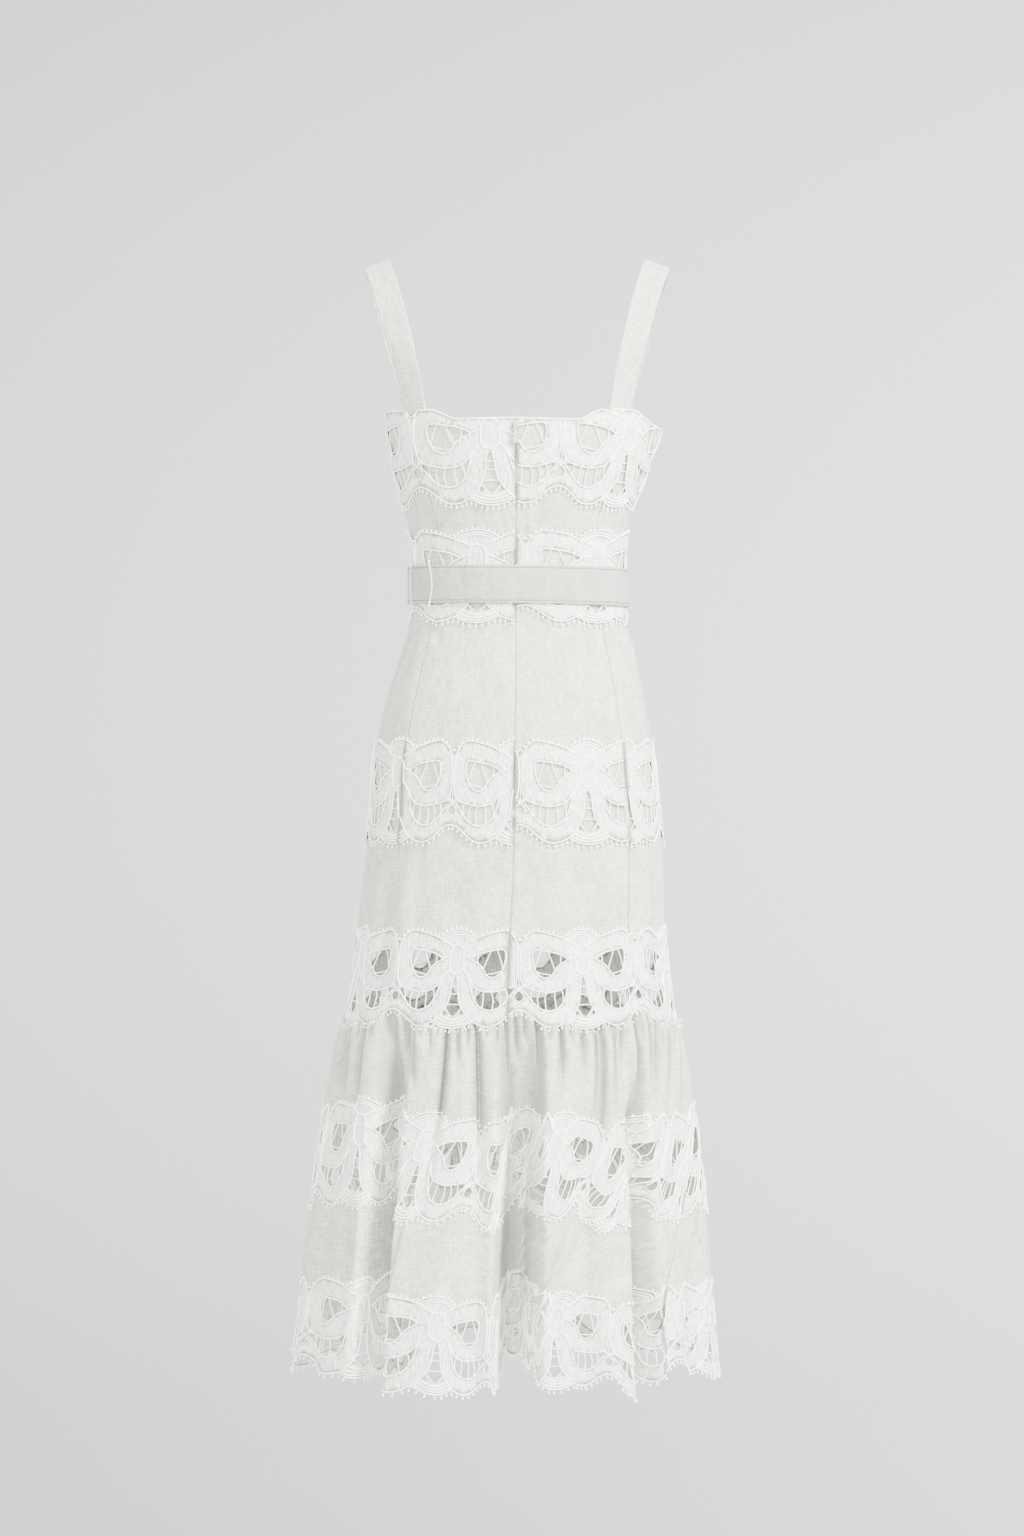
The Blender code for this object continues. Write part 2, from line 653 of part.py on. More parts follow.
def swept_band(name, skin, path, across, width, thickness):
    """A flat band along a path, its two ends cut level; across gives its width direction at each point."""
    rings = []
    for k, point in enumerate(path):
        ahead = path[min(k + 1, len(path) - 1)] - path[max(k - 1, 0)]
        side = (across[k] - ahead * (across[k].dot(ahead) / ahead.length_squared)).normalized()
        up = ahead.normalized().cross(side)
        corners = ((-1, -1), (1, -1), (1, 1), (-1, 1))
        ring = [point + side * (width / 2 * a) + up * (thickness / 2 * b) for a, b in corners]
        if k in (0, len(path) - 1):
            ring = [corner + ahead * ((point.z - corner.z) / ahead.z) for corner in ring]
        rings.append(ring)
    vertices = [v for ring in rings for v in ring]
    faces = [(3, 2, 1, 0), tuple(len(vertices) - 4 + i for i in range(4))]
    for k in range(len(rings) - 1):
        for i in range(4):
            j = (i + 1) % 4
            faces.append((4 * k + i, 4 * k + j, 4 * k + 4 + j, 4 * k + 4 + i))
    return body_from(name, vertices, faces, skin)


# One strap, from the back neckline over the crest to the front neckline; tilt leans its outer edge down.
StrapPoint = namedtuple("StrapPoint", "x y down tilt_deg turn_deg")
STRAP = [
    StrapPoint(111, -66, 163.3, 0, 35),
    StrapPoint(119, -74, 125, 3, 27),
    StrapPoint(128, -77, 87, 7, 20),
    StrapPoint(138, -71, 49, 12, 12),
    StrapPoint(147, -54, 19, 17, 5),
    StrapPoint(152.5, -32, 4.5, 20, 0),
    StrapPoint(154, -8, 0, 21, 0),
    StrapPoint(153, 16, 4.5, 20, 0),
    StrapPoint(149, 40, 21, 17, -4),
    StrapPoint(140, 63, 54, 12, -10),
    StrapPoint(129, 78, 94, 7, -16),
    StrapPoint(119, 84, 131, 3, -23),
    StrapPoint(111, 84, 163.3, 0, -30),
]


def make_straps(skin):
    for side, name in ((1, "strap_right"), (-1, "strap_left")):
        path = [Vector((side * p.x, p.y, -p.down)) * MM for p in STRAP]
        across = []
        for p in STRAP:
            tilt, turn = math.radians(p.tilt_deg), math.radians(p.turn_deg)
            flat = math.cos(tilt)
            across.append(Vector((side * flat * math.cos(turn), flat * math.sin(turn), -math.sin(tilt))))
        for end in (0, -1):
            down = NECK_DOWN - NECK_RISE - STRAP_END_GAP
            path[end] = on_bodice(side * STRAP_HALF_SPAN, down, path[end].y > 0)
        swept_band(name, skin, path, across, STRAP_WIDTH * MM, STRAP_THICKNESS * MM)


def on_bodice(x, down, front):
    """The point of the bodice's middle surface at a sideways place and height, on the front or the back."""
    turns = np.linspace(0.5, 1.0, 2000) * math.pi if front else np.linspace(0, 0.5, 2000) * math.pi
    xs, ys = ring_xy(turns * (1 if x > 0 else -1), down)
    k = int(np.argmin(np.abs(xs - x)))
    return Vector((x * MM, float(ys[k]) * MM, -down * MM))


def belt_down(x_mm, edge):
    return BELT_TOP_DOWN + edge * BELT_HEIGHT + BELT_TILT * x_mm


def make_belt(skin):
    """The self-fabric belt, one closed round of stiffened cloth just outside the waist lace."""
    count = BELT_COLUMNS
    rings = []
    for k in range(count):
        share = k / count
        corners = []
        for edge, out in ((0, 0), (0, BELT_THICKNESS), (1, BELT_THICKNESS), (1, 0)):
            middle = cloth(np.array([share]), np.array([BELT_MIDDLE_DOWN]))[0]
            down = belt_down(middle[0], edge)
            at = wall_points(np.array([share]), np.array([down]), BELT_STANDOFF + out, 1 / count)[0]
            corners.append(Vector(at) * MM)
        rings.append(corners)
    vertices = [v for ring in rings for v in ring]
    faces = []
    for k in range(count):
        n = (k + 1) % count
        for i in range(4):
            j = (i + 1) % 4
            faces.append((4 * k + i, 4 * k + j, 4 * n + j, 4 * n + i))
    return body_from("belt", vertices, faces, skin)


def tube(name, skin, path, radius, sides=6):
    rings = []
    for k, point in enumerate(path):
        ahead = (path[min(k + 1, len(path) - 1)] - path[max(k - 1, 0)]).normalized()
        side = ahead.orthogonal() if k == 0 else (side - ahead * side.dot(ahead))
        side.normalize()
        up = ahead.cross(side)
        rings.append([
            point + (side * math.cos(a) + up * math.sin(a)) * radius
            for a in (2 * math.pi * i / sides for i in range(sides))
        ])
    vertices = [v for ring in rings for v in ring]
    faces = [tuple(reversed(range(sides))), tuple(len(vertices) - sides + i for i in range(sides))]
    for k in range(len(rings) - 1):
        for i in range(sides):
            j = (i + 1) % sides
            faces.append((sides * k + i, sides * k + j, sides * (k + 1) + j, sides * (k + 1) + i))
    return body_from(name, vertices, faces, skin)


LOOP_RADIUS = 0.9
LOOP_CLEAR = 1.5
LOOP_REACH = 4.0
LOOP_FOOT = 1.0
LOOP_TURN = 1.2
LOOP_BOW = 0.006
LOOP_SHARES = {"left_1": -0.191, "left_2": -0.148, "right_1": 0.30, "right_2": 0.326}


def make_belt_loops(skin):
    """A thread carrier at each side: two thick cords over the belt, bowed apart."""
    outside = BELT_STANDOFF + BELT_THICKNESS + LOOP_CLEAR
    foot = BELT_STANDOFF + LOOP_FOOT
    for k, (name, share) in enumerate(LOOP_SHARES.items()):
        x = float(cloth(np.array([share]), np.array([BELT_MIDDLE_DOWN]))[0, 0])
        top, low = belt_down(x, 0), belt_down(x, 1)
        bow = LOOP_BOW * (-1 if k % 2 == 0 else 1)
        high, deep = top - LOOP_REACH, low + LOOP_REACH
        stops = [
            (high, foot, 0), (high + 0.5, outside - LOOP_TURN, 0), (top - LOOP_TURN, outside, 0.25),
            ((top + low) / 2, outside, 1),
            (low + LOOP_TURN, outside, 0.25), (deep - 0.5, outside - LOOP_TURN, 0), (deep, foot, 0),
        ]
        path = []
        for down, out, bowed in stops:
            at = wall_points(np.array([share + bow * bowed]), np.array([BELT_MIDDLE_DOWN]), out, 0.01)[0]
            path.append(Vector((at[0], at[1], -down)) * MM)
        tube("belt_loop_" + name, skin, path, LOOP_RADIUS * MM)


def box(name, skin, low, high, rim=0.0):
    work = bmesh.new()
    bmesh.ops.create_cube(work, size=1)
    for v in work.verts:
        v.co = Vector(low[i] if v.co[i] < 0 else high[i] for i in range(3))
    if rim:
        bmesh.ops.bevel(work, geom=work.edges[:], offset=rim, segments=1, affect="EDGES")
    mesh = bpy.data.meshes.new(name)
    work.to_mesh(mesh)
    work.free()
    mesh.materials.append(skin)
    made = bpy.data.objects.new(name, mesh)
    bpy.context.scene.collection.objects.link(made)
    return made


BUCKLE_WIDTH = 46.0
BUCKLE_HEIGHT = 58.0
BUCKLE_BAR = 6.0
BUCKLE_THICKNESS = 3.5
BUCKLE_CLEAR = 0.2
BUCKLE_BEND = 560.0
BUCKLE_CORNER = 11.0
BUCKLE_ROUNDS = 6


def make_buckle(skin):
    """A cloth-covered frame on the belt at the centre front, standing just clear of it."""
    at = wall_points(np.array([0.5]), np.array([BELT_TOP_DOWN]), BELT_STANDOFF + BELT_THICKNESS, 0.01)[0]
    vertices, faces = [], []
    count = 4 * BUCKLE_ROUNDS
    inset = ((0, 0), (BUCKLE_BAR, 0), (BUCKLE_BAR, BUCKLE_THICKNESS), (0, BUCKLE_THICKNESS))
    for step in range(count):
        corner, part = divmod(step, BUCKLE_ROUNDS)
        angle = math.radians(90 * corner + 90 * part / (BUCKLE_ROUNDS - 1))
        cx = (1 if corner in (0, 3) else -1) * (BUCKLE_WIDTH / 2 - BUCKLE_CORNER)
        cz = (1 if corner in (0, 1) else -1) * (BUCKLE_HEIGHT / 2 - BUCKLE_CORNER)
        for inward, out in inset:
            x = cx + math.cos(angle) * (BUCKLE_CORNER - inward)
            z = cz + math.sin(angle) * (BUCKLE_CORNER - inward)
            y = at[1] + BUCKLE_CLEAR + out - x * x / BUCKLE_BEND
            vertices.append(Vector((at[0] + x, y, z - BELT_MIDDLE_DOWN)) * MM)
    for k in range(count):
        n = (k + 1) % count
        for i in range(4):
            j = (i + 1) % 4
            faces.append((4 * k + i, 4 * k + j, 4 * n + j, 4 * n + i))
    return body_from("belt_buckle", vertices, faces, skin)


ZIP_TOP_DOWN = 178.0
SLIDER = namedtuple("Slider", "width height depth")(5.6, 8.6, 2.6)
SLIDER_CLEAR, SLIDER_RIM = 0.5, 0.5
LUG_WIDTH, LUG_REACH, LUG_HEIGHT = 1.2, 2.4, 2.6
LUG_PLAY, LUG_ROOT = 0.4, 0.8
HINGE_BELOW, HINGE_OUT = 6.6, 0.55
PULL_LENGTH, PULL_TOP, PULL_FOOT, PULL_THICKNESS = 18.0, 2.2, 4.6, 1.3
PULL_ABOVE, PULL_NECK = 0.9, -2.4
FOOT_STEPS = 7


def make_zip(skin):
    """The slider at the head of the back zip, with two lugs, and the pull that hangs between them."""
    outer = CLOTH / 2 + LACE_STANDOFF + LACE
    back = cloth(np.array([0.0]), np.array([ZIP_TOP_DOWN]))[0]
    x, face = back[0], back[1] - outer / MM - SLIDER_CLEAR
    hinge_down = ZIP_TOP_DOWN + HINGE_BELOW
    hinge_y = face - SLIDER.depth - LUG_REACH * HINGE_OUT
    body = box(
        "zip_slider", skin,
        Vector((x - SLIDER.width / 2, face - SLIDER.depth, -ZIP_TOP_DOWN - SLIDER.height)) * MM,
        Vector((x + SLIDER.width / 2, face, -ZIP_TOP_DOWN)) * MM, SLIDER_RIM * MM,
    )
    lug_out = face - SLIDER.depth - LUG_REACH
    for side in (-1, 1):
        lug_x = x + side * (PULL_TOP / 2 + LUG_PLAY + LUG_WIDTH / 2)
        lug = box(
            "lug", skin,
            Vector((lug_x - LUG_WIDTH / 2, lug_out, -hinge_down - LUG_HEIGHT / 2)) * MM,
            Vector((lug_x + LUG_WIDTH / 2, face - LUG_ROOT, -hinge_down + LUG_HEIGHT / 2)) * MM,
        )
        lug.hide_render = True
        lug.display_type = "WIRE"
        join = body.modifiers.new("lug", "BOOLEAN")
        join.operation = "UNION"
        join.object = lug
    half = PULL_THICKNESS / 2
    outline = [(-PULL_TOP / 2, PULL_ABOVE), (PULL_TOP / 2, PULL_ABOVE), (PULL_TOP / 2, PULL_NECK)]
    foot = PULL_FOOT / 2
    for k in range(FOOT_STEPS):
        angle = math.pi * k / (FOOT_STEPS - 1)
        outline.append((math.cos(angle) * foot, -(PULL_LENGTH - foot) - math.sin(angle) * foot))
    outline.append((-PULL_TOP / 2, PULL_NECK))
    count = len(outline)
    vertices = [Vector((px, side * half, pz)) * MM for side in (-1, 1) for px, pz in outline]
    faces = [tuple(range(count)), tuple(reversed(range(count, 2 * count)))]
    for i in range(count):
        j = (i + 1) % count
        faces.append((i, i + count, j + count, j))
    pull = body_from("zip_pull", vertices, faces, skin)
    pull.location = Vector((x, hinge_y, -hinge_down)) * MM


def main():
    for old in list(bpy.data.objects):
        bpy.data.objects.remove(old, do_unlink=True)
    linen = material("linen_cotton_cloth", WHITE, 0.85)
    lace = material("cutwork_lace", LACE_WHITE, 0.8)
    belt = material("belt_cloth", BELT_WHITE, 0.8)
    enamel = material("zip_enamel", WHITE, 0.4)
    make_bodice(linen)
    make_skirt(linen)
    make_knee_lace(lace)
    make_flounce(linen, lace)
    make_lined_lace(lace)
    make_straps(linen)
    make_belt(belt)
    make_buckle(belt)
    make_belt_loops(linen)
    make_zip(enamel)


main()
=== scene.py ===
"""Looks of the tiered lace midi dress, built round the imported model.

Tables are in millimetres, meshes in metres. "down" is the distance below the strap crests and "share" the
way round the cloth, 0 at the centre back and growing towards +X, as in the part's source. Every cloth node
is replaced by a thin shell of cloth or lace. In the lace, "bow" counts the bows of a band from a join, and
"v" runs from its top line, 0, to its foot, 1.
"""

import math
from collections import namedtuple
from functools import partialmethod

import bpy
import numpy as np
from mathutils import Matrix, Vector
from mathutils.geometry import delaunay_2d_cdt


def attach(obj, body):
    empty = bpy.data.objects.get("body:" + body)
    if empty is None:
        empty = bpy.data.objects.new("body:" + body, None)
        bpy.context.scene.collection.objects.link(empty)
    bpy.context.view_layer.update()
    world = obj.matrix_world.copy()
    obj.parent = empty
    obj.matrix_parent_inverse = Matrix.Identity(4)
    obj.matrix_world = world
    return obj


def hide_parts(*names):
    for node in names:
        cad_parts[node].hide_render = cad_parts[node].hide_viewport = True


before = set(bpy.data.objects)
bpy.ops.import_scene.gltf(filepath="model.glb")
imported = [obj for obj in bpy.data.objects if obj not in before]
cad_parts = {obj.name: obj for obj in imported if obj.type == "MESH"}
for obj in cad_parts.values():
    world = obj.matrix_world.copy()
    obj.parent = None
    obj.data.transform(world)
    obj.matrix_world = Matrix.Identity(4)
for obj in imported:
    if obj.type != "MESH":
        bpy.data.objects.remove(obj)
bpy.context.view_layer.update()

MM = 0.001
CAD_WALL = 1.2
LACE_STANDOFF = 1.35
LACE_SUNK = 0.45
SQUARENESS = 2.2
GIRTH = 1000.0

NECK_DOWN = 175.0
NECK_RISE = 11.0
NECK_SLOPE_REACH = 30.0
NECK_RAISED_WIDTH = 0.6
NECK_SIDE_FROM, NECK_SIDE_REACH = 124.0, 22.0
NECK_RIGHT_FALL, NECK_LEFT_FALL = 8.0, -5.0
WAIST_DOWN = 354.0
GATHER_DOWN = 815.0
HEM_DOWN = 1219.0

STRAP_HALF_SPAN = 111.0
STRAP_WIDTH = 29.0

KNEE_BOWS = 7
FLOUNCE_BOWS = 14

# shift is how far the ring's middle lies towards +X, seam how far the back seam lies from that.
Section = namedtuple("Section", "down half_width back front shift seam")
SECTIONS = [Section(*row) for row in (
    (150, 147, 93, 117, 3, -5.5), (190, 145.2, 96, 121, 5.6, -6.8), (225, 137, 95, 121, 4.2, -5.4),
    (262, 126, 91, 111, 1.5, -2.7), (300, 118.2, 84, 98, 1.1, -2.4), (345, 115.3, 80, 91, 1.4, -2.8),
    (385, 117, 82, 90, 1.5, -3), (430, 128.9, 92, 95, 1.2, -2.8), (480, 141.9, 107, 101, -1.7, -0.4),
    (540, 152.6, 118, 106, -3.5, 0.8), (600, 157.6, 122, 108, -2.5, -0.8),
    (660, 163.9, 123, 110, -2.9, -1.6), (730, 169, 125, 113, -6, -2), (790, 175.4, 131, 120, -6.6, -3),
    (830, 182.5, 141, 130, -7.6, -2.4), (870, 192, 152, 142, -8.8, -1.5), (930, 205.5, 166, 156, -9.5, 0),
    (1000, 215, 180, 170, -11, 0), (1100, 226, 197, 187, -13.5, 0), (1219, 237, 212, 200, -15, 0),
)]

# The flounce hangs in lobes; each row is a valley between two lobes, with its sizes at the hem.
Valley = namedtuple("Valley", "turn_deg depth half_width_deg floor lift")
VALLEYS = [Valley(*row) for row in (
    (-61, 9, 11, 0, 0), (-36.8, 92, 6.5, 0.25, 10), (-6.5, 13, 5, 0, 0), (3, 132, 6.2, 0.35, 28),
    (20.5, 15, 6, 0, 0), (39.8, 48, 5.2, 0.2, 6), (62, 8, 10, 0, 0), (98, 36, 11, 0.2, 5),
    (128, 22, 11, 0.1, 3), (156, 34, 10, 0.2, 5), (188, 38, 11, 0.2, 5), (217, 24, 11, 0.1, 3),
    (242, 34, 10, 0.2, 5), (270, 26, 10, 0.2, 4),
)]
VALLEY_GROWTH = 0.75
HEM_MIX = 1.15
LIFT_GROWTH = 1.5

# The lobes hang at uneven heights: how far each place sags at the flounce lace and at the hem.
Sag = namedtuple("Sag", "turn_deg flounce hem")
SAGS = [Sag(*row) for row in (
    (-180, 0, -6), (-110, 0, -6), (-75, 0, -10), (-60, -8, -13), (-51, -17, -14), (-39, -14, -12),
    (-31.5, 0, 0), (-22, 0, -5), (-8, 8, 0), (-1.5, 12, 3), (3, 4, 0), (8.5, 2, -10), (19, -2, -9),
    (27, 17, -3), (35, 12, 9), (41, 4, 0), (46.5, 7, -14), (60, 9, -14), (80, 0, -3), (110, 0, 0),
    (180, 0, -6),
)]
SAG_FULL_DOWN = 960.0

Band = namedtuple("Band", "down height")
KNEE_JOIN_SHARE = 0.0122
LEFT_SEAM_SHARE, RIGHT_SEAM_SHARE = -0.1485, 0.149
BODICE_SEAM_SHARE = 6.5 / 48
HEM_JOIN_TURN = math.radians(-3.9)
BAND_KNEE = Band(727, 106)
BAND_FLOUNCE = Band(921, 116)
BAND_HEM = Band(1114, 105)
# Where a band's knots, at half bows, and joins, at whole ones, lie; elsewhere its bows are even.
Mark = namedtuple("Mark", "share bow")
KNEE_MARKS = [Mark(KNEE_JOIN_SHARE, 0)]
FLOUNCE_MARKS = [Mark(*row) for row in (
    (-0.195, -3.0), (-0.1451, -2.5), (-0.0596, -1.5), (-0.0147, -1.0), (0.0635, 0.5), (0.113, 1.0),
    (0.160, 1.5), (0.1911, 2.0), (0.240, 2.5),
)]
HEM_MARKS = [Mark(*row) for row in (
    (-0.186, -3.0), (-0.130, -2.5), (-0.064, -1.0), (-0.0163, -0.5), (0.0139, 0.0), (0.1575, 2.5),
    (0.1923, 3.0), (0.2723, 4.0),
)]
LINED_BANDS = {"lace_top": Band(158, 111), "lace_waist": Band(294.5, 102), "lace_hip": Band(523, 113)}
# share_0 is where one join of a lined piece's bows lies, flat its sheet's width and height in metres.
LinedPiece = namedtuple("LinedPiece", "band part first last bows share_0 flat")
LINED_PIECES = [LinedPiece(*row) for row in (
    ("lace_top", "back_left", -0.25, 0.0, 4.45, -0.1464, (0.205, 0.105)),
    ("lace_top", "back_right", 0.0, 0.25, 5.1, 0.0604, (0.205, 0.105)),
    ("lace_top", "front", 0.25, 0.75, 5.0, 0.5, (0.405, 0.105)),
    ("lace_waist", "back_left", -0.25, 0.0, 3.9, -0.1927, (0.166, 0.102)),
    ("lace_waist", "back_right", 0.0, 0.25, 4.07, 0.0151, (0.166, 0.102)),
    ("lace_waist", "front", 0.25, 0.75, 4.0, 0.5, (0.33, 0.102)),
    ("lace_hip", "side_left", -0.25, LEFT_SEAM_SHARE, 6.4, -0.235, (0.088, 0.113)),
    ("lace_hip", "centre_back_left", LEFT_SEAM_SHARE, 0.0, 6.37, -0.077, (0.128, 0.113)),
    ("lace_hip", "centre_back_right", 0.0, RIGHT_SEAM_SHARE, 5.8, 0.0068, (0.128, 0.113)),
    ("lace_hip", "side_right", RIGHT_SEAM_SHARE, 0.25, 6.2, 0.2277, (0.088, 0.113)),
    ("lace_hip", "front", 0.25, 0.75, 6.0, 0.5, (0.42, 0.113)),
)]
SIDE_LEFT, SIDE_RIGHT, ROUND = KNEE_JOIN_SHARE - 0.25, KNEE_JOIN_SHARE + 0.25, KNEE_JOIN_SHARE + 0.75
# The two lengths of every flounce piece and of the lace on it.
HALVES = (("back", SIDE_LEFT, SIDE_RIGHT), ("front", SIDE_RIGHT, ROUND))

BELT_TOP_DOWN = 333.0
BELT_HEIGHT = 41.5
BELT_MIDDLE_DOWN = BELT_TOP_DOWN + BELT_HEIGHT / 2
BELT_THICKNESS = 2.4
BELT_STANDOFF = 4.1
BELT_TILT = 0.012

TURN_STEP = 0.02
RING_SAMPLES = np.linspace(0, 1, 1441)
LEVEL_STEP = 10.0
LEVELS = np.arange(140.0, 1241.0, LEVEL_STEP)


# Helpers for lines and curves

def smooth(t):
    t = np.clip(t, 0, 1)
    return t * t * (3 - 2 * t)


def unit(vectors):
    return vectors / np.linalg.norm(vectors, axis=-1, keepdims=True)


def run_along(points):
    """The length of a line from its first point to each of its points."""
    return np.concatenate([[0], np.cumsum(np.linalg.norm(np.diff(points, axis=0), axis=1))])


def spline(ring, fine):
    """A smooth curve through all of some points but the first and the last, which only steer it."""
    made = []
    for a, b, c, d in zip(ring, ring[1:], ring[2:], ring[3:]):
        bend, twist = 2 * a - 5 * b + 4 * c - d, 3 * b - a - 3 * c + d
        made += [0.5 * (2 * b + (c - a) * t + bend * t**2 + twist * t**3)
                 for t in np.linspace(0, 1, fine, endpoint=False)]
    return np.array(made + [ring[-2]])


def spread(rows, fine):
    """Smooth values between the rows of a table."""
    held = np.array(rows, float)
    return spline(np.vstack([2 * held[0] - held[1], held, 2 * held[-1] - held[-2]]), fine)


CURVE_FINE = 8


def curve_through(points, size, step, closed=False):
    """Even points on a smooth curve, in the units of the points it runs through; size scales them to mm."""
    held = np.array(points, float)
    ring = np.vstack([held[-1], held, held[:2]]) if closed else np.vstack([held[0], held, held[-1]])
    fine = spline(ring, CURVE_FINE)
    run = run_along(fine * size)
    at = np.linspace(0, run[-1], max(2, int(round(run[-1] / step)) + 1))
    return np.stack([np.interp(at, run, fine[:, 0]), np.interp(at, run, fine[:, 1])], axis=1)


# The cloth's form, as in the part's source

def section_value(field, down):
    """A smooth value of the section table at some heights, by cubic pieces between its rows."""
    knots = np.array([row.down for row in SECTIONS], float)
    values = np.array([getattr(row, field) for row in SECTIONS], float)
    slopes = np.gradient(values, knots)
    down = np.clip(down, knots[0], knots[-1])
    k = np.clip(np.searchsorted(knots, down) - 1, 0, len(knots) - 2)
    step = knots[k + 1] - knots[k]
    t = (down - knots[k]) / step
    rise = values[k + 1] - values[k]
    start, end = slopes[k] * step, slopes[k + 1] * step
    return values[k] + t * start + t**2 * (3 * rise - 2 * start - end) + t**3 * (start + end - 2 * rise)


def signed_power(value):
    return np.sign(value) * np.abs(value) ** (2 / SQUARENESS)


def ring_xy(turn, down):
    """The plain ring in plan; turn is 0 at the centre back and grows towards +X."""
    depth = np.where(np.cos(turn) > 0, section_value("back", down), section_value("front", down))
    x = section_value("shift", down) + section_value("half_width", down) * signed_power(np.sin(turn))
    return x, -depth * signed_power(np.cos(turn))


def ring_normal(turn, down):
    x0, y0 = ring_xy(turn - TURN_STEP, down)
    x1, y1 = ring_xy(turn + TURN_STEP, down)
    length = np.hypot(x1 - x0, y1 - y0)
    return (y1 - y0) / length, -(x1 - x0) / length


def growth(down):
    """How much of a valley's hem depth it has at some heights."""
    return np.clip((down - GATHER_DOWN) / (HEM_DOWN - GATHER_DOWN), 0, None) ** VALLEY_GROWTH


def valleys(turn):
    """How far the lobes' valleys cut in at the hem, and how far they lift it."""
    cut = np.zeros_like(turn)
    lift = np.zeros_like(turn)
    for row in VALLEYS:
        away = (turn - math.radians(row.turn_deg) + math.pi) % (2 * math.pi) - math.pi
        t = 1 - np.abs(away) / math.radians(row.half_width_deg)
        shape = smooth(t / (1 - row.floor))
        cut += row.depth * shape
        lift += row.lift * shape
    return cut, lift


def folded_xy(turn, down, extra=0.0):
    x, y = ring_xy(turn, down)
    nx, ny = ring_normal(turn, down)
    push = extra - valleys(turn)[0] * growth(down)
    return x + nx * push, y + ny * push


def length_table(turn, x, y):
    run = run_along(np.column_stack([x, y]))
    return np.interp(RING_SAMPLES, run / run[-1], turn)


def body_turns(down):
    """Turns at even lengths of cloth round the body at one height, from the centre-back seam."""
    aside = section_value("seam", down) / section_value("half_width", down)
    start = np.sign(aside) * np.arcsin(np.abs(aside) ** (SQUARENESS / 2))
    turn = start + RING_SAMPLES * 2 * math.pi
    return length_table(turn, *ring_xy(turn, down))


BODY_TURNS = np.array([body_turns(level) for level in LEVELS])
FINE_TURN = HEM_JOIN_TURN + np.linspace(0, 2 * math.pi, 20001)
HEM_TURNS = length_table(FINE_TURN, *folded_xy(FINE_TURN, HEM_DOWN))


def turn_at(share, down):
    """The turn of a column of cloth, even round the body and by the cloth's own length at the hem."""
    whole = np.floor(share)
    place = (share - whole) * (len(RING_SAMPLES) - 1)
    j = np.clip(place.astype(int), 0, len(RING_SAMPLES) - 2)
    height = np.clip((down - LEVELS[0]) / LEVEL_STEP, 0, len(LEVELS) - 1.001)
    i = height.astype(int)
    s, t = place - j, height - i
    low = BODY_TURNS[i, j] * (1 - s) + BODY_TURNS[i, j + 1] * s
    high = BODY_TURNS[i + 1, j] * (1 - s) + BODY_TURNS[i + 1, j + 1] * s
    body = low * (1 - t) + high * t + 2 * math.pi * whole
    hem_share = share - KNEE_JOIN_SHARE
    hem = np.interp(hem_share % 1.0, RING_SAMPLES, HEM_TURNS) + 2 * math.pi * np.floor(hem_share)
    mix = smooth((down - GATHER_DOWN) / (HEM_DOWN - GATHER_DOWN) * HEM_MIX)
    return body * (1 - mix) + hem * mix


def sag(turn, down):
    """How much lower than level the flounce hangs."""
    wrapped = np.degrees((turn + math.pi) % (2 * math.pi) - math.pi)
    places = [row.turn_deg for row in SAGS]
    upper = np.interp(wrapped, places, [row.flounce for row in SAGS])
    lower = np.interp(wrapped, places, [row.hem for row in SAGS])
    t = np.clip((down - SAG_FULL_DOWN) / (HEM_DOWN - SAG_FULL_DOWN), 0, 1)
    begun = smooth((down - GATHER_DOWN) / (SAG_FULL_DOWN - GATHER_DOWN))
    return begun * (upper * (1 - t) + lower * t)
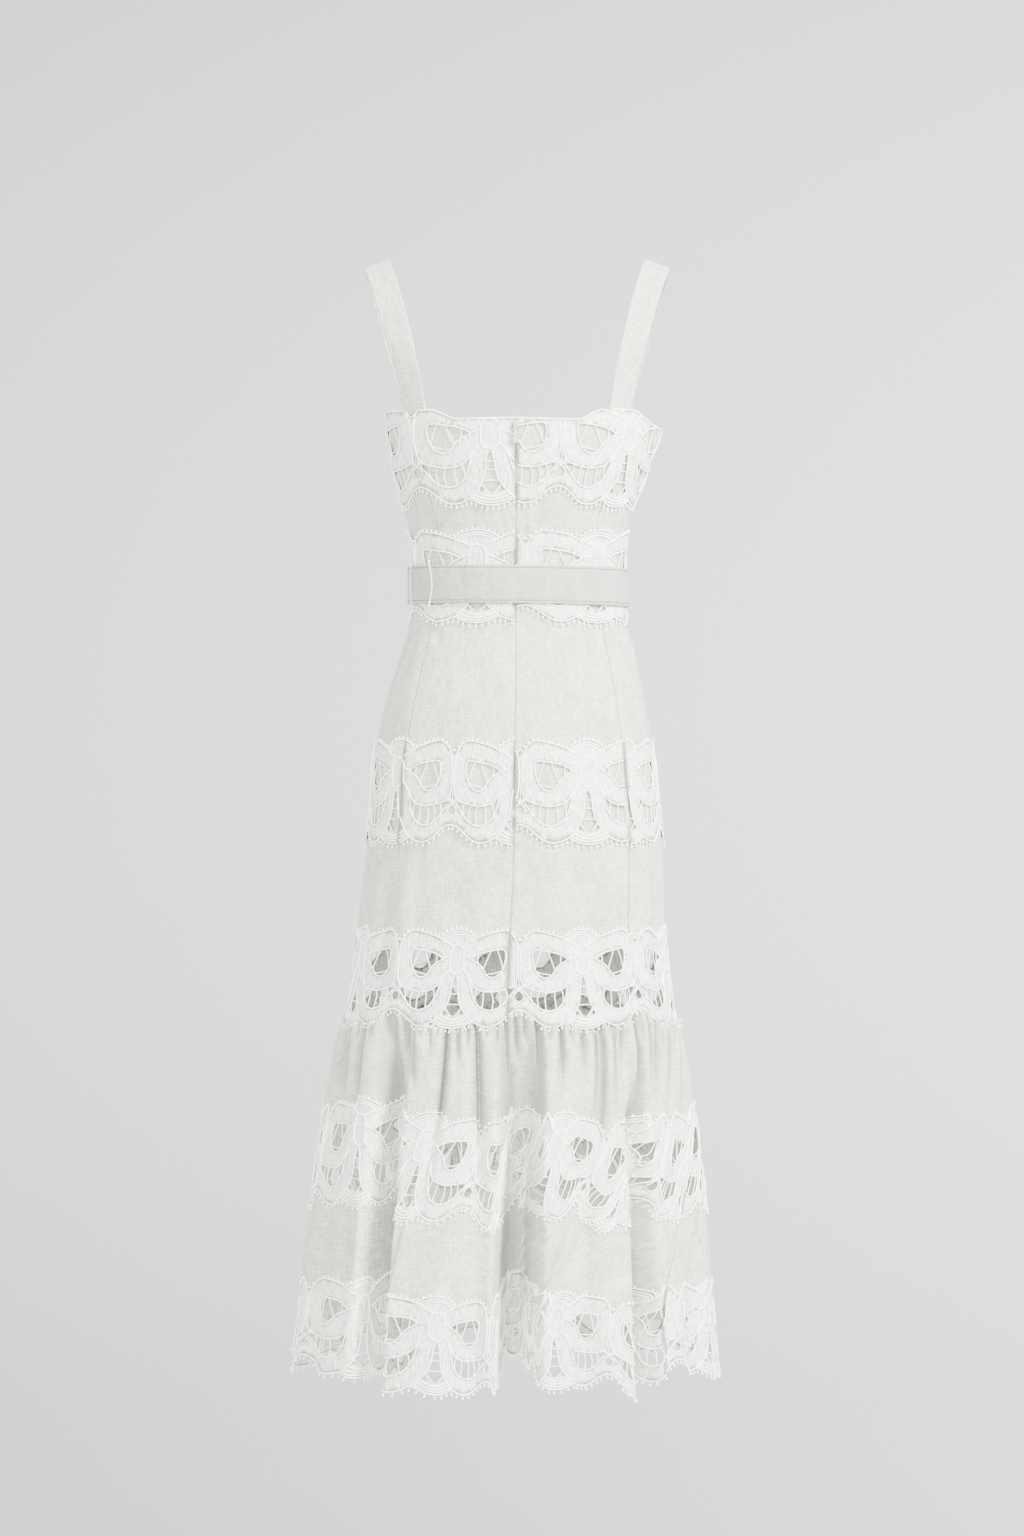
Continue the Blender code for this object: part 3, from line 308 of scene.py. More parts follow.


# Creases and gathers, placed on the back and as unevenly on the hidden sides

# A fold from one place to another, with millimetres round the cloth from the centre back: width is its half
# width, depth how far it stands out, or in below 0.
Crease = namedtuple("Crease", "round_0 down_0 round_1 down_1 width depth")
CREASES = [Crease(*row) for row in (
    # bodice: drag lines from the bust lace to the belt, pulls beside the back seams
    (-175, 262, -115, 300, 7, -1.3), (-205, 280, -135, 322, 6, -1.5), (-120, 288, -60, 306, 5, -0.8),
    (110, 268, 185, 300, 7, -1.4), (120, 300, 200, 326, 6, -1.6), (70, 290, 125, 318, 5, -0.9),
    (185, 238, 235, 262, 6, -1.7), (-235, 240, -180, 258, 6, -1.2), (-30, 262, -12, 318, 6, -0.7),
    (18, 258, 30, 322, 6, 0.8),
    # skirt under the belt
    (-150, 384, -118, 424, 6, -1.6), (-190, 382, -176, 450, 7, -1.5), (-60, 386, -52, 440, 8, -0.9),
    (52, 386, 46, 432, 8, 0.8), (120, 384, 104, 438, 7, -1.5), (172, 386, 162, 452, 7, -1.6),
    (205, 392, 186, 470, 8, 1.5), (-215, 392, -204, 478, 8, 1.3),
    # hip to knee
    (-120, 470, -112, 560, 13, -1.6), (98, 462, 92, 556, 13, -1.4), (-163, 640, -152, 815, 15, -3.6),
    (-135, 655, -124, 815, 12, 2.2), (-70, 640, -62, 740, 16, -1.8), (-12, 650, -10, 800, 14, -1.6),
    (45, 650, 50, 780, 18, 1.5), (96, 640, 98, 800, 14, -2.2), (140, 648, 142, 815, 12, -2.6),
    (178, 620, 170, 790, 13, 2), (205, 640, 198, 815, 13, -3), (-205, 640, -198, 810, 13, -3.2),
    # wrinkles from wearing and folding, small and slanted
    (-50, 498, -20, 508, 4, -0.6), (30, 470, 75, 482, 4, -0.6), (-100, 690, -45, 704, 5, -0.7),
    (60, 684, 110, 672, 5, -0.7), (20, 700, 52, 716, 4, 0.6),
    # front, hidden in the photograph
    (300, 236, 370, 268, 8, -1.5), (700, 238, 632, 270, 8, -1.4), (330, 292, 400, 324, 6, -1.3),
    (668, 290, 600, 322, 6, -1.4), (460, 284, 470, 326, 8, -0.8), (300, 384, 318, 450, 8, -1.6),
    (372, 386, 382, 444, 8, -1.2), (448, 384, 444, 430, 7, 0.9), (540, 385, 548, 436, 8, -1.1),
    (624, 384, 612, 452, 8, -1.5), (696, 386, 684, 460, 8, -1.5), (330, 640, 336, 812, 15, -3),
    (405, 650, 400, 800, 16, 2), (470, 655, 474, 812, 14, -2.2), (545, 640, 540, 806, 16, -2.6),
    (612, 648, 616, 800, 15, 2), (672, 640, 676, 812, 14, -3), (735, 650, 738, 806, 12, -2.4),
    (380, 506, 430, 514, 5, -0.7), (560, 500, 610, 490, 5, -0.7),
    # lower flounce: soft folds between the lobes, and small wrinkles
    (-212, 900, -206, 1219, 9, -4), (-182, 930, -180, 1150, 8, 2.2), (-152, 960, -150, 1219, 7, -3.2),
    (-86, 1010, -88, 1219, 6, -2.6), (-52, 990, -46, 1190, 7, 2), (-12, 1000, -8, 1219, 6, -3),
    (108, 1000, 112, 1219, 6, -2.6), (128, 960, 132, 1160, 7, 2.2), (152, 990, 158, 1219, 6, -3),
    (208, 940, 214, 1219, 7, -3.2), (238, 960, 244, 1190, 7, 2.4), (-190, 1062, -160, 1070, 3.5, -0.8),
    (150, 1058, 176, 1066, 3.5, -0.8), (-50, 1070, -22, 1062, 3.5, -0.7), (290, 900, 294, 1219, 8, -3.4),
    (352, 940, 358, 1219, 8, 2.4), (395, 900, 392, 1219, 8, -3.2), (455, 930, 462, 1200, 8, -2.8),
    (512, 900, 508, 1219, 9, 2.6), (560, 920, 566, 1219, 8, -3.4), (622, 940, 618, 1200, 8, 2.2),
    (668, 900, 674, 1219, 8, -3.2), (722, 930, 728, 1219, 8, -2.8),
)]
CREASE_TAPER = 0.28
CREASE_REACH = 3.4
CREASE_SIDE, CREASE_SIDE_AWAY = 0.35, 1.7


def drape(share, down):
    """How far the creases move the cloth out of its smooth form."""
    out = np.zeros(share.shape)
    along = share * GIRTH
    for fold in CREASES:
        step_x, step_y = fold.round_1 - fold.round_0, fold.down_1 - fold.down_0
        length = math.hypot(step_x, step_y)
        ex, ey = step_x / length, step_y / length
        near = np.ones(share.shape, bool)
        for here, start, end in ((along, fold.round_0, fold.round_1), (down, fold.down_0, fold.down_1)):
            reach = CREASE_REACH * fold.width
            near &= (here > min(start, end) - reach) & (here < max(start, end) + reach)
        if not near.any():
            continue
        dx, dy = along[near] - fold.round_0, down[near] - fold.down_0
        t = (dx * ex + dy * ey) / length
        across = (dy * ex - dx * ey) / fold.width
        taper = smooth(t / CREASE_TAPER)
        if fold.down_1 < HEM_DOWN:
            taper = taper * smooth((1 - t) / CREASE_TAPER)
        ridge = np.exp(-across**2) - CREASE_SIDE * np.exp(-((np.abs(across) - CREASE_SIDE_AWAY) ** 2))
        out[near] += fold.depth * taper * ridge
    return out


# One gather of the ruffle seam: where it starts and where it leans to by its foot, in millimetres round the
# cloth from the centre back, and how far down it runs.
Gather = namedtuple("Gather", "round_top round_low depth width reach")
GATHERS = [Gather(*row) for row in (
    (-225, -205, 3.8, 3, 60), (-210, -188, 4.6, 2.8, 85), (-195.9, -180, 5.4, 3, 110),
    (-180, -166, 3.4, 2.2, 40), (-168.6, -158, 6.4, 3, 150), (-156, -147, 3.4, 2.2, 35),
    (-137.1, -123, 5.6, 5, 170), (-128.5, -123, 5, 3.5, 150), (-118, -112, 3.4, 2, 35),
    (-113, -106, 4.6, 2.5, 60), (-106, -84, 4.6, 2.6, 95), (-96, -83, 3.2, 2, 32),
    (-85.8, -66.5, 3.4, 2.2, 50), (-76, -67, 3.4, 2, 34), (-66, -54.3, 7, 3, 240),
    (-55.2, -38.1, 4, 2.4, 70), (-44.5, -29.3, 4, 2.2, 50), (-35, -18.8, 7.2, 3.2, 240),
    (-24, -15, 3.2, 2, 32), (-13, -4, 4, 2.4, 60), (-4, 5, 6, 3, 190), (7.9, 12.8, 4, 2.2, 60),
    (17.6, 21, 3.2, 2, 38), (31.7, 37.9, 7, 3.2, 230), (42.3, 45, 3.4, 2, 38), (55.1, 59, 5.2, 2.6, 100),
    (65.8, 70, 3.2, 2, 44), (77.9, 82, 4.2, 2.4, 75), (87, 90, 3.2, 2, 34), (93.8, 97, 5.4, 2.8, 150),
    (100.4, 104.6, 5.2, 2.6, 190), (109, 112, 3.4, 2, 34), (115.4, 117, 4.6, 2.6, 110),
    (125.8, 128, 4, 2.2, 70), (142, 153, 6.6, 3, 220), (150, 156, 3.4, 2, 44), (162, 164, 4.8, 2.6, 100),
    (173.7, 170, 5, 2.6, 110), (186, 180, 4, 2.4, 56), (200, 190, 5.2, 2.8, 120), (213.6, 199, 4, 2.4, 66),
    (229, 214, 5.2, 2.8, 130), (245, 235, 4, 2.4, 66),
)]
HIDDEN_GATHERS_FROM = 0.257
HIDDEN_GATHER_STEP = (0.0088, 0.0150)
HIDDEN_GATHERS_END = 0.006
HIDDEN_GATHER_LEAN = 0.006
HIDDEN_GATHER_WIDTH = (2.1, 3.2)
LONG_GATHERS = 0.3
LONG_GATHER_DEPTH, SHORT_GATHER_DEPTH = (5.2, 7.0), (3.2, 4.8)
LONG_GATHER_REACH, SHORT_GATHER_REACH = (120, 230), (34, 90)
GATHER_SEED = 31
GATHER_LEAN_DOWN = 925.0
GATHER_LEAN_MOST = 1.6
GATHER_WIDENS = 0.9
GATHER_DEEPER = 2.4
GATHER_SHARPNESS = 1.5
GATHER_EDGE = 2.6
GATHER_FADE = 1.6
PUFF = 5.0
PUFF_RISE = 16.0
PUFF_ABOVE_SEAM = 2.0
PUFF_FADE_DOWN = 945.0
SEAM_SHARE_OF_PUFF = 0.3
# How deep a gather is where its painted shade is darkest, in millimetres.
GATHER_SHADE_DEPTH = 9.0


def hidden_gathers():
    """Gathers of the same unevenness round the sides and front."""
    dice = np.random.default_rng(GATHER_SEED)
    place, made = HIDDEN_GATHERS_FROM, []
    while place < ROUND - HIDDEN_GATHERS_END:
        long = dice.random() < LONG_GATHERS
        depth = dice.uniform(*(LONG_GATHER_DEPTH if long else SHORT_GATHER_DEPTH))
        reach = dice.uniform(*(LONG_GATHER_REACH if long else SHORT_GATHER_REACH))
        foot = place + dice.uniform(-HIDDEN_GATHER_LEAN, HIDDEN_GATHER_LEAN)
        width = dice.uniform(*HIDDEN_GATHER_WIDTH)
        made.append(Gather(place * GIRTH, foot * GIRTH, depth, width, reach))
        place += dice.uniform(*HIDDEN_GATHER_STEP)
    return made


ALL_GATHERS = GATHERS + hidden_gathers()


def puff_begun(down):
    """How much of the flounce's fullness there is at a height below the ruffle seam."""
    begun = smooth((down - GATHER_DOWN + PUFF_ABOVE_SEAM) / PUFF_RISE)
    return SEAM_SHARE_OF_PUFF + (1 - SEAM_SHARE_OF_PUFF) * begun


def gather_depth(share, down):
    """How deep the gathers of the ruffle seam are."""
    share, down = np.broadcast_arrays(share, down)
    grown = puff_begun(down)
    deep = np.zeros(share.shape)
    lean = np.clip((down - GATHER_DOWN) / (GATHER_LEAN_DOWN - GATHER_DOWN), 0, GATHER_LEAN_MOST)
    for row in ALL_GATHERS:
        middle = row.round_top + (row.round_low - row.round_top) * lean
        t = (down - GATHER_DOWN) / row.reach
        width = row.width * (1 + GATHER_WIDENS * np.clip(t, 0, 1))
        across = np.abs(share * GIRTH - middle) / width
        near = (across < GATHER_EDGE) & (t < 1)
        if near.any():
            fade = smooth((1 - t[near]) * GATHER_FADE) * grown[near]
            deep[near] += row.depth * GATHER_DEEPER * fade * np.exp(-across[near] ** GATHER_SHARPNESS)
    return deep


def gathered(share, down):
    """How far the gathers of the ruffle seam move the flounce out and in."""
    fade = smooth((PUFF_FADE_DOWN - down) / (PUFF_FADE_DOWN - GATHER_DOWN - PUFF_RISE))
    return PUFF * puff_begun(down) * fade - gather_depth(share, down)


# Places where a lace edge stands away from the cloth under it.
Lift = namedtuple("Lift", "share down share_reach down_reach height")
LACE_LIFTS = [
    Lift(0.243, 178, 0.030, 26, 5.5),
    Lift(0.215, 236, 0.030, 22, 2.4),
    Lift(-0.205, 232, 0.030, 24, 2.0),
    Lift(0.140, 598, 0.020, 20, 1.6),
]


def lifted(share, down):
    out = np.zeros(share.shape)
    for row in LACE_LIFTS:
        away = ((share - row.share) / row.share_reach) ** 2 + ((down - row.down) / row.down_reach) ** 2
        out += row.height * np.exp(-away)
    return out


def middle(share, down, ruffled):
    """Points of the cloth's middle surface with its creases, in millimetres."""
    turn = turn_at(share, down)
    extra = drape(share, down)
    if ruffled:
        extra = extra + gathered(share, down)
    x, y = folded_xy(turn, down, extra)
    lift = valleys(turn)[1] * growth(down) ** LIFT_GROWTH
    return np.stack([x, y, lift - sag(turn, down) - down], axis=-1)


SHARE_STEP = 0.0006
DOWN_STEP = 0.7


def place(share, down, out=0.0, ruffled=False):
    """Points moved out of the creased middle surface, square to it, in metres."""
    share, down = np.broadcast_arrays(np.asarray(share, float), np.asarray(down, float))
    across = middle(share + SHARE_STEP, down, ruffled) - middle(share - SHARE_STEP, down, ruffled)
    along = middle(share, down + DOWN_STEP, ruffled) - middle(share, down - DOWN_STEP, ruffled)
    normal = unit(np.cross(along, across))
    return (middle(share, down, ruffled) + normal * np.asarray(out, float)[..., None]) * MM


# The ribbon-bow lace, drawn in thousandths of a bow across and of the band's height down

def mirrored(line):
    return [(-x, y) for x, y in line]


def both(line):
    return [line, mirrored(line)]


def bows(*spots):
    """Spots in thousandths, as shares of a bow and of the height."""
    return [(x / 1000, y / 1000) for x, y in spots]


def other_half(half):
    return mirrored([spot for spot in half[::-1] if spot[0]])


def even_ring(*half):
    """A closed outline from its right half, which starts at the top."""
    return bows(*half) + other_half(bows(*half))


def even_line(*half):
    """An open line from its right half, which starts in the middle."""
    return other_half(bows(*half)) + bows(*half)


# Across is from the knot.
KNOT = even_ring((0, 163), (34, 176), (52, 225), (56, 310), (54, 385), (36, 437), (0, 455))
ARCS = [even_line(*half) for half in (
    [(0, 0), (50, 8), (100, 34), (150, 94)],
    [(0, 24), (88, 56), (134, 112)],
    [(0, 50), (76, 79), (118, 130)],
)]
LOOP_TOP = bows((36, 172), (85, 134), (135, 98), (196, 62), (262, 33), (330, 12), (385, 4), (430, 30),
                (462, 82), (480, 150), (489, 240), (491, 330), (488, 430), (482, 505), (466, 552))
LOOP_UNDER = bows((54, 400), (106, 479), (140, 553), (180, 601), (235, 622), (290, 626), (345, 612),
                  (400, 594), (446, 572), (466, 552))
EYE = bows((118, 298), (174, 247), (230, 224), (300, 205), (366, 194), (391, 214), (394, 300), (373, 400),
           (336, 462), (298, 484), (250, 466), (209, 385), (170, 340))
EYE_STEM = bows((54, 272), (86, 280), (118, 298))
EYE_BARS = [bows(*bar) for bar in (
    [(172, 250), (174, 342)],
    [(274, 213), (248, 300), (218, 400)],
    [(322, 200), (352, 290), (374, 392)],
    [(243, 452), (320, 436), (368, 410)],
)]
CRESCENT = bows((130, 545), (180, 601), (235, 622), (290, 626), (345, 612), (400, 594), (450, 588),
                (444, 640), (402, 712), (354, 776), (300, 808), (240, 803), (188, 762), (152, 690),
                (133, 610))
CRESCENT_LOW = bows((104, 482), (122, 556), (134, 620), (152, 692), (188, 764), (240, 806), (300, 811),
                    (354, 779), (402, 715), (440, 648), (470, 606))
CRESCENT_BARS = [bows(*bar) for bar in (
    [(178, 600), (164, 655), (166, 720)],
    [(230, 620), (228, 710), (222, 797)],
    [(288, 626), (305, 690), (298, 808)],
    [(342, 613), (362, 690), (354, 776)],
    [(396, 595), (412, 650), (400, 715)],
)]
TAIL_INNER = bows((12, 474), (26, 560), (33, 660), (43, 730), (60, 780), (84, 836), (114, 886), (150, 930))
TAIL_GAP = even_ring((0, 492), (15, 540), (23, 590), (28, 670), (40, 738), (52, 775), (50, 800), (0, 872))
TAIL_BARS = [even_line((22, 575)), even_line((30, 655)), even_line((0, 757), (55, 762))]
TAIL_BARS += both(bows((-62, 800), (-14, 880)))
TAIL_CORNER = bows((66, 818), (82, 846), (52, 856))
FOOT_ARCS = [even_line(*half) for half in (
    [(0, 972), (80, 954), (132, 914)],
    [(0, 944), (66, 927), (113, 892)],
    [(0, 914), (54, 897), (94, 862)],
)]
HEM_LINE = bows((0, 996), (50, 990), (100, 966), (150, 930), (200, 960), (260, 974), (320, 956),
                (370, 908), (420, 848), (460, 812), (500, 800))
TOP_LINE = bows((0, 0), (50, 8), (100, 34), (150, 90), (196, 62), (262, 33), (330, 12), (385, 4),
                (430, 30), (462, 75), (500, 125))
# Across is from the join.
JOIN_SLIT = even_ring((0, 392), (9, 450), (13, 520), (0, 556))
JOIN_GAP = even_ring((0, 606), (34, 634), (37, 668), (20, 714))
JOIN_THREADS = [bows((0, 392), (2, 480), (0, 560))]
JOIN_THREADS += both(bows((-46, 548), (0, 594), (40, 660)))
JOIN_THREADS += [even_line((0, 724), (46, 748), (88, 800))]

KNOT_GAPS = both(EYE) + both(CRESCENT) + [TAIL_GAP] + both(TAIL_CORNER)
JOIN_GAPS = [JOIN_SLIT, JOIN_GAP]

# raised is how far a thread's middle stands over the tape, in its own radii.
Thread = namedtuple("Thread", "radius step raised")
CORD = Thread(0.82, 3.1, 0.55)
BAR = Thread(0.55, 4.65, -0.1)
STALK = 0.45
EDGE_STEP = 3.0


def line_height(line, bow):
    """Height of a scalloped edge at some places in bows."""
    across = np.abs((np.asarray(bow, float) % 1.0) - 0.5)
    return np.interp(across, [x for x, _ in line], [y for _, y in line])


def in_polygon(line, x, y):
    hit = np.zeros(x.shape, bool)
    for (x0, y0), (x1, y1) in zip(line, np.roll(line, -1, axis=0)):
        if y0 != y1:
            spans = (y0 > y) != (y1 > y)
            hit ^= spans & (x < (x1 - x0) * (y - y0) / (y1 - y0) + x0)
    return hit


def neck_height(share):
    """The bodice's top edge, raised at the four strap ends and lower under the right arm than the left."""
    turn = turn_at(share, np.full_like(share, NECK_DOWN))
    x = folded_xy(turn, np.full_like(share, NECK_DOWN))[0]
    near = 1 - (np.abs(np.abs(x) - STRAP_HALF_SPAN) - STRAP_WIDTH * NECK_RAISED_WIDTH) / NECK_SLOPE_REACH
    fall = np.where(x > 0, NECK_RIGHT_FALL, NECK_LEFT_FALL)
    aside = smooth((np.abs(x) - NECK_SIDE_FROM) / NECK_SIDE_REACH)
    return NECK_DOWN - NECK_RISE * smooth(near) + fall * aside


# Meshes

def link(made):
    bpy.context.scene.collection.objects.link(made)
    return made


def mesh_from(name, points, faces, skin, pattern=None):
    mesh = bpy.data.meshes.new(name)
    mesh.from_pydata(np.asarray(points).tolist(), [], faces)
    mesh.materials.append(skin)
    if pattern is not None:
        held = mesh.attributes.new("weave_mm", "FLOAT_VECTOR", "POINT")
        held.data.foreach_set("vector", np.ascontiguousarray(pattern, np.float32).ravel())
    mesh.shade_smooth()
    return link(bpy.data.objects.new(name, mesh))


def grid_faces(rows, columns):
    """Faces of a sheet whose points are listed row by row."""
    starts = [r * columns + c for r in range(rows - 1) for c in range(columns - 1)]
    return [(k, k + columns, k + columns + 1, k + 1) for k in starts]


def tube_faces(rings, count, closed=True):
    """Faces of a tube whose points are listed ring by ring; a closed one joins its last to its first."""
    made = []
    for k in range(rings if closed else rings - 1):
        n = (k + 1) % rings
        for i in range(count):
            j = (i + 1) % count
            made.append((k * count + i, n * count + i, n * count + j, k * count + j))
    return made


def shell(name, outer, inner, faces, skin, pattern):
    """A thin closed shell: an outer and an inner skin with one pattern, and the rim between them."""
    count = len(outer)
    uses = {}
    for face in faces:
        for a, b in zip(face, face[1:] + face[:1]):
            key = (a, b) if a < b else (b, a)
            uses[key] = None if key in uses else (a, b)
    made = list(faces) + [tuple(v + count for v in reversed(face)) for face in faces]
    made += [(b, a, a + count, b + count) for a, b in (pair for pair in uses.values() if pair)]
    return mesh_from(name, np.vstack([outer, inner]), made, skin, np.vstack([pattern, pattern]))


CLOTH_WALL = 0.5
TAPE_WALL = 0.5
END_COLUMNS = (0.5, 1.3, 2.6, 4.4)
TURNED_IN = 1.1
TURN_REACH = 0.8
PUCKER = 0.22
PUCKER_PITCH = 8.3
PUCKER_REACH = 6.0
PUCKER_SHIFT = 40.0
FEWEST_COLUMNS, FEWEST_ROWS = 8, 6
TUCK_REACH = 3.0


def cloth_panel(name, ends, top, bottom, grid, ruffled=False, tuck=0.0):
    """A panel between two shares and two edges; its sewn ends turn in and pucker a little."""
    first, last = ends
    columns = max(FEWEST_COLUMNS, int(round((last - first) * GIRTH / grid.across)))
    shares = np.linspace(first, last, columns + 1)
    near = np.array(END_COLUMNS) / GIRTH
    shares = np.unique(np.concatenate([shares, first + near, last - near]))
    high, low = top(shares), bottom(shares)
    rows = max(FEWEST_ROWS, int(round((low - high).max() / grid.down))) + 1
    down = high + (low - high) * np.linspace(0, 1, rows)[:, None]
    share = np.broadcast_to(shares, down.shape)
    out = np.zeros(down.shape)
    for end in ends:
        away = np.abs(share - end) * GIRTH
        out -= TURNED_IN * np.exp(-((away / TURN_REACH) ** 2))
        ripple = np.sin(down * 2 * math.pi / PUCKER_PITCH + end * PUCKER_SHIFT)
        out += PUCKER * np.exp(-away / PUCKER_REACH) * ripple
    out -= tuck * np.exp(-((down - high) / TUCK_REACH) ** 2)
    outer = place(share, down, out + CLOTH_WALL / 2, ruffled).reshape(-1, 3)
    inner = place(share, down, out - CLOTH_WALL / 2, ruffled).reshape(-1, 3)
    # Painted shade: the gathers' grooves are darkened by their depth, kept as the pattern's third value.
    groove_shade = np.clip(gather_depth(share, down) / GATHER_SHADE_DEPTH, 0, 1) if ruffled else np.zeros(down.shape)
    pattern = np.stack([share * GIRTH, down, groove_shade], axis=-1).reshape(-1, 3)
    panel = shell(name, outer, inner, grid_faces(rows, len(shares)), LINEN, pattern)
    # The inner faces take a lighter linen, painted light inside the dress.
    panel.data.materials.append(INSIDE_LINEN_PAINTED_LIGHT)
    for face in panel.data.polygons:
        if min(face.vertices) >= down.size:
            face.material_index = 1
    return panel


COUNT_SAMPLES = 2001


class BowCount:
    """Counts a band's bows along its cloth, through its marks."""

    def __init__(self, band, bows, marks):
        self.band, self.bows, self.start = band, bows, marks[0]
        self.ring = self.start.share + np.linspace(0, 1, COUNT_SAMPLES)
        self.run = run_along(middle(self.ring, np.full_like(self.ring, band.down + band.height / 2), False))
        at = np.interp([m.share for m in marks] + [self.start.share + 1], self.ring, self.run)
        self.count = np.interp(self.run, at, [m.bow for m in marks] + [self.start.bow + bows])

    def bow(self, share):
        whole = np.floor(share - self.start.share)
        return np.interp(share - whole, self.ring, self.count) + whole * self.bows

    def share(self, bow):
        whole = np.floor((bow - self.start.bow) / self.bows)
        return np.interp(bow - whole * self.bows, self.count, self.ring) + whole

    def edge(self, line, into):
        """An edge function for a panel: the height of the band's edge, moved by some millimetres."""
        return lambda share: self.band.down + self.band.height * line_height(line, self.bow(share)) + into


KNEE_BOW_COUNT = BowCount(BAND_KNEE, KNEE_BOWS, KNEE_MARKS)
FLOUNCE_BOW_COUNT = BowCount(BAND_FLOUNCE, FLOUNCE_BOWS, FLOUNCE_MARKS)
HEM_BOW_COUNT = BowCount(BAND_HEM, FLOUNCE_BOWS, HEM_MARKS)

TOP_PICOT_PITCH, TOP_PICOT_LENGTH, TOP_BEAD = 5.5, 2.0, 1.25
LOW_PICOT_PITCH, LOW_PICOT_LENGTH, LOW_BEAD = 6.6, 4.2, 1.175
PICOT_HEIGHT, PICOT_OVER_FLOUNCE = 0.55, 1.0
PICOT_SWING, PICOT_UNEVEN, PICOT_ASIDE = 0.25, 0.16, 0.6
PICOT_SWING_STEP, PICOT_SWING_BOW, PICOT_FINE = 2.7, 1.9, 0.5
PICOT_END_GAP, PICOT_NECK_GAP = 0.006, 0.01
UNEVEN_BOW = 0.006
UNEVEN_ACROSS, UNEVEN_TILT, UNEVEN_DOWN = 4.1, 2.0, 5.3
LONGEST_SIDE = 2.4
SAME_SPOT = 1e-4
NECK_LACE_INSIDE = 0.4


